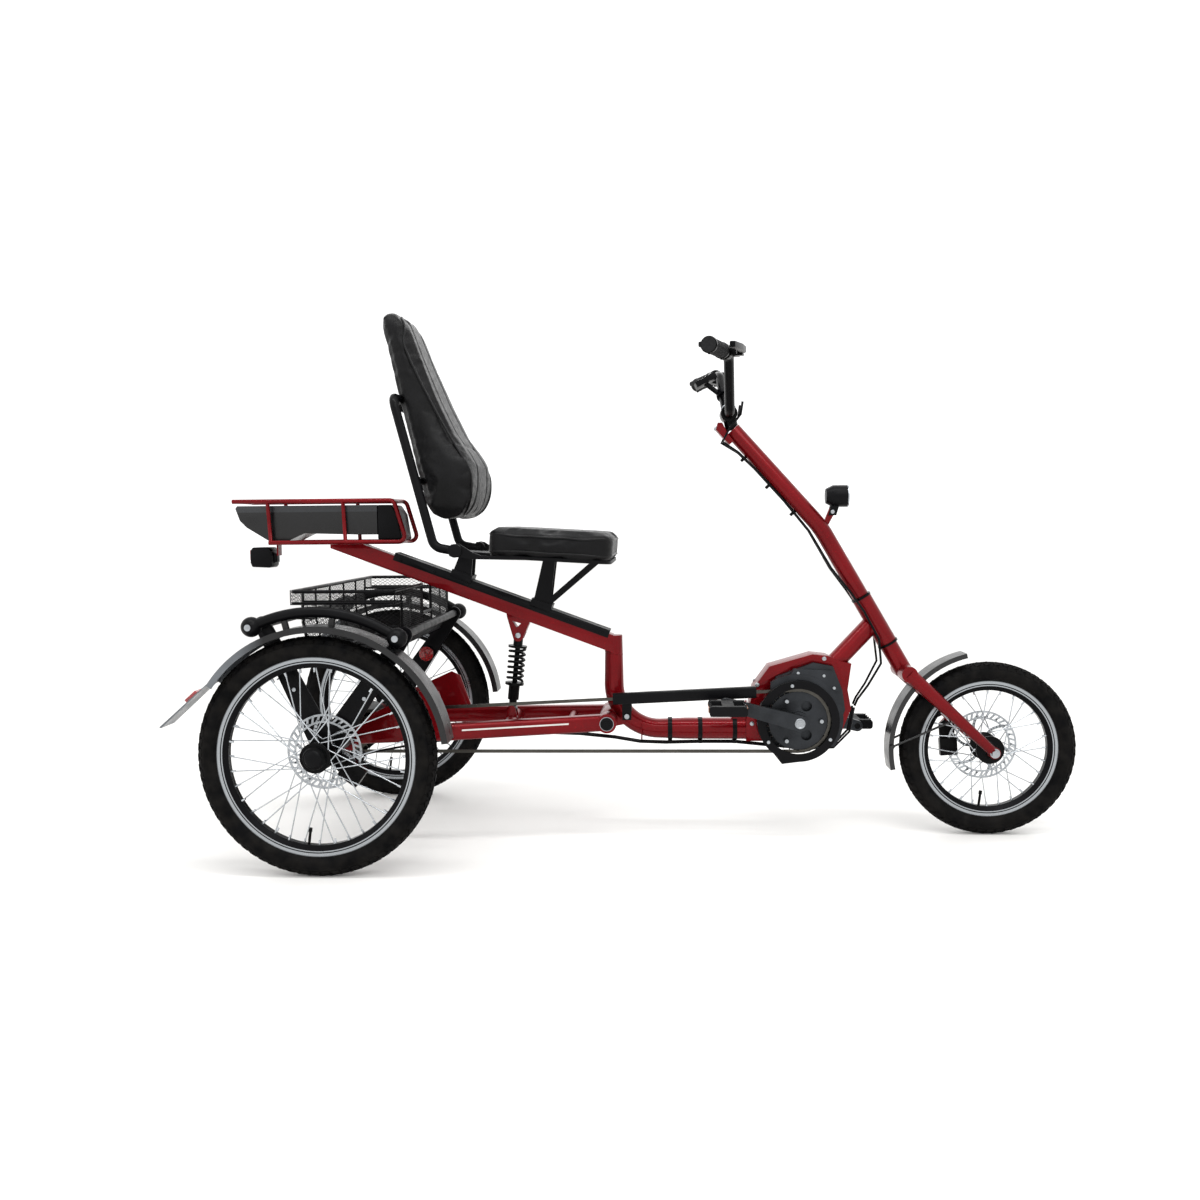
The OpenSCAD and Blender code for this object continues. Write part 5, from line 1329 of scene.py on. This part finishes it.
def build_stage(sizes):
    """A plain pale floor and backdrop, soft lamps, and the camera at the trike's right side."""
    bm = bmesh.new()
    bmesh.ops.create_grid(bm, x_segments=1, y_segments=1, size=sizes.floor_size * 500)
    floor = make("studio_floor", bm, "floor", None)
    scene = bpy.context.scene
    world = bpy.data.worlds.new("studio")
    world.use_nodes = True
    background = world.node_tree.nodes["Background"]
    background.inputs["Color"].default_value = linear("ffffff")
    background.inputs["Strength"].default_value = WORLD_STRENGTH
    scene.world = world
    scene.view_settings.view_transform = "Standard"
    for name, place, aim, size, watts in LAMPS:
        lamp = bpy.data.lights.new(name, "AREA")
        lamp.shape = "RECTANGLE"
        lamp.size, lamp.size_y = size
        lamp.energy = watts
        holder = bpy.data.objects.new(name, lamp)
        holder.location = TO_ROW @ Vector(place)
        aim_at = TO_ROW @ Vector(aim)
        holder.rotation_euler = (aim_at - holder.location).to_track_quat("-Z", "Y").to_euler()
        scene.collection.objects.link(holder)
    camera = bpy.data.cameras.new("camera")
    camera.lens = sizes.lens
    camera.sensor_width = 36.0
    holder = bpy.data.objects.new("camera", camera)
    yaw, pitch, roll = (math.radians(a) for a in CAMERA_TURNS)
    forward = Vector((math.sin(yaw) * math.cos(pitch), math.cos(yaw) * math.cos(pitch), math.sin(pitch)))
    right = Vector((math.cos(yaw), -math.sin(yaw), 0))
    up = right.cross(forward)
    turned_right = right * math.cos(roll) + up * math.sin(roll)
    turned_up = up * math.cos(roll) - right * math.sin(roll)
    matrix = Matrix((turned_right, turned_up, -forward)).transposed().to_4x4()
    matrix.translation = TO_ROW @ Vector(CAMERA_PLACE)
    holder.matrix_world = matrix
    scene.collection.objects.link(holder)
    scene.camera = holder


def finish_cad_nodes():
    """Gives every CAD node its own finish."""
    for name, node in frame["nodes"].items():
        node.data.materials.clear()
        node.data.materials.append(finish(NODE_FINISH[name]))


# ---- Add-on ----

class TricycleSizes(bpy.types.PropertyGroup):
    """Sizes of the pieces that are built here"""
    tread_depth: FloatProperty(name="Tread Depth", description="Height of a tread block", default=0.0018,
                               min=0.0005, max=0.003, unit="LENGTH")
    tread_pitch: FloatProperty(name="Tread Pitch", description="Length of one tread block and its gap",
                               default=0.022, min=0.012, max=0.04, unit="LENGTH")
    seat_pitch: FloatProperty(name="Seat Pitch", description="Forward tilt of the seat",
                              default=math.radians(3.5), subtype="ANGLE")
    seat_thickness: FloatProperty(name="Seat Thickness", description="Thickness of the seat pad",
                                  default=0.054, min=0.03, max=0.08, unit="LENGTH")
    welt_diameter: FloatProperty(name="Welt Diameter", description="Diameter of the welt cords",
                                 default=0.005, min=0.003, max=0.008, unit="LENGTH")
    lens: FloatProperty(name="Lens", description="Focal length of the camera in millimetres", default=32.86,
                        min=18.0, max=85.0, unit="CAMERA")
    floor_size: FloatProperty(name="Floor Size", description="Width of the studio floor", default=40.0,
                              min=6.0, max=80.0, unit="LENGTH")


def colour_property(name, description, hex_colour):
    """A colour that a user can change, given in sRGB hex."""
    return FloatVectorProperty(name=name, description=description, default=linear(hex_colour), size=4,
                               min=0.0, max=1.0, subtype="COLOR")


class TricycleColours(bpy.types.PropertyGroup):
    """Main colours of the tricycle and of the stage"""
    lacquer: colour_property("Lacquer", "Frame, fork, column and swingarm", "65030a")
    stripe: colour_property("Stripe", "Stripe along the swingarm", "d2d0cc")
    powder: colour_property("Powder Coat", "Basket, bows and seat frames", "08080a")
    plastic: colour_property("Plastic", "Moulded cases", "070709")
    leather: colour_property("Leather", "Seat and backrest pads", "060607")
    tyre: colour_property("Tyre", "Tyre rubber", "060607")
    grip: colour_property("Grip", "Handlebar grips", "0a0a0c")
    rim_black: colour_property("Rim Black", "Painted part of the rims", "0c0c0e")
    rim_bright: colour_property("Rim Bright", "Bare metal bands of the rims", "9a9ea2")
    guard: colour_property("Mudguard", "Gloss part of the mudguards", "0a0a0c")
    # This grey is a painted reflection on the rear mudguards
    guard_painted_reflection: colour_property("Mudguard Painted Reflection", "Grey part of the rear mudguards", "5c6064")
    screen: colour_property("Screen", "Cover glass of the display", "06080b")
    floor: colour_property("Floor", "Studio floor", "e6e5e3")


class TRICYCLE_OT_finishes(bpy.types.Operator):
    """Gives every frame part its finish"""
    bl_idname = "tricycle.finishes"
    bl_label = "Finishes"

    def execute(self, context):
        finish_cad_nodes()
        return {"FINISHED"}


class TRICYCLE_OT_stage(bpy.types.Operator):
    """Adds the floor, the lights and the camera"""
    bl_idname = "tricycle.stage"
    bl_label = "Stage"

    def execute(self, context):
        build_stage(context.scene.tricycle_sizes)
        return {"FINISHED"}


class TRICYCLE_OT_wheels(bpy.types.Operator):
    """Builds the tyres, nipples, valves and hub caps"""
    bl_idname = "tricycle.wheels"
    bl_label = "Wheels"

    def execute(self, context):
        for wheel, spokes in (("left", 36), ("right", 36), ("front", 28)):
            build_tyre(wheel, context.scene.tricycle_sizes)
            build_wheel_trim(wheel, spokes)
            build_disc(wheel)
        build_hub_caps()
        return {"FINISHED"}


class TRICYCLE_OT_basket(bpy.types.Operator):
    """Builds the expanded-metal basket"""
    bl_idname = "tricycle.basket"
    bl_label = "Basket"

    def execute(self, context):
        build_basket()
        return {"FINISHED"}


class TRICYCLE_OT_seat_cushion(bpy.types.Operator):
    """Builds the leather seat cushion"""
    bl_idname = "tricycle.seat_cushion"
    bl_label = "Seat Cushion"

    def execute(self, context):
        build_seat_cushion(context.scene.tricycle_sizes)
        return {"FINISHED"}


class TRICYCLE_OT_back_cushion(bpy.types.Operator):
    """Builds the leather backrest cushion"""
    bl_idname = "tricycle.back_cushion"
    bl_label = "Back Cushion"

    def execute(self, context):
        build_back_cushion(context.scene.tricycle_sizes)
        return {"FINISHED"}


class TRICYCLE_OT_controls(bpy.types.Operator):
    """Builds the grips, the display and the lamps"""
    bl_idname = "tricycle.controls"
    bl_label = "Controls and Lamps"

    def execute(self, context):
        build_grips()
        build_display()
        build_lamps()
        return {"FINISHED"}


class TRICYCLE_OT_drive(bpy.types.Operator):
    """Builds the chain, the motor's trim and the pedals"""
    bl_idname = "tricycle.drive"
    bl_label = "Drive"

    def execute(self, context):
        build_chain()
        build_drive_trim()
        build_pedals()
        return {"FINISHED"}


class TRICYCLE_OT_frame_trim(bpy.types.Operator):
    """Smooths the frame's tubes and edges, and adds bolts, clips, welds and reflectors"""
    bl_idname = "tricycle.frame_trim"
    bl_label = "Frame Trim"

    def execute(self, context):
        build_smooth_parts()
        build_bolts()
        build_clips()
        build_welds()
        build_reflectors()
        return {"FINISHED"}


OPERATORS = (TRICYCLE_OT_stage, TRICYCLE_OT_finishes, TRICYCLE_OT_wheels, TRICYCLE_OT_basket,
             TRICYCLE_OT_seat_cushion, TRICYCLE_OT_back_cushion, TRICYCLE_OT_controls, TRICYCLE_OT_drive,
             TRICYCLE_OT_frame_trim)


class VIEW3D_PT_tricycle(bpy.types.Panel):
    """Lists the tricycle's sizes, its colours and the operators that build its pieces"""
    bl_label = "Tricycle"
    bl_space_type = "VIEW_3D"
    bl_region_type = "UI"
    bl_category = "Tricycle"

    def draw(self, context):
        for group in (context.scene.tricycle_sizes, context.scene.tricycle_colours):
            for name in group.bl_rna.properties.keys():
                if name not in ("rna_type", "name"):
                    self.layout.prop(group, name)
        for operator in OPERATORS:
            self.layout.operator(operator.bl_idname)


CLASSES = (TricycleSizes, TricycleColours, *OPERATORS, VIEW3D_PT_tricycle)


def register():
    for cls in CLASSES:
        bpy.utils.register_class(cls)
    bpy.types.Scene.tricycle_sizes = PointerProperty(type=TricycleSizes)
    bpy.types.Scene.tricycle_colours = PointerProperty(type=TricycleColours)


def unregister():
    del bpy.types.Scene.tricycle_colours
    del bpy.types.Scene.tricycle_sizes
    for cls in reversed(CLASSES):
        bpy.utils.unregister_class(cls)


def main():
    register()
    for operator in OPERATORS:
        group, action = operator.bl_idname.split(".")
        getattr(getattr(bpy.ops, group), action)()


if __name__ == "__main__":
    main()
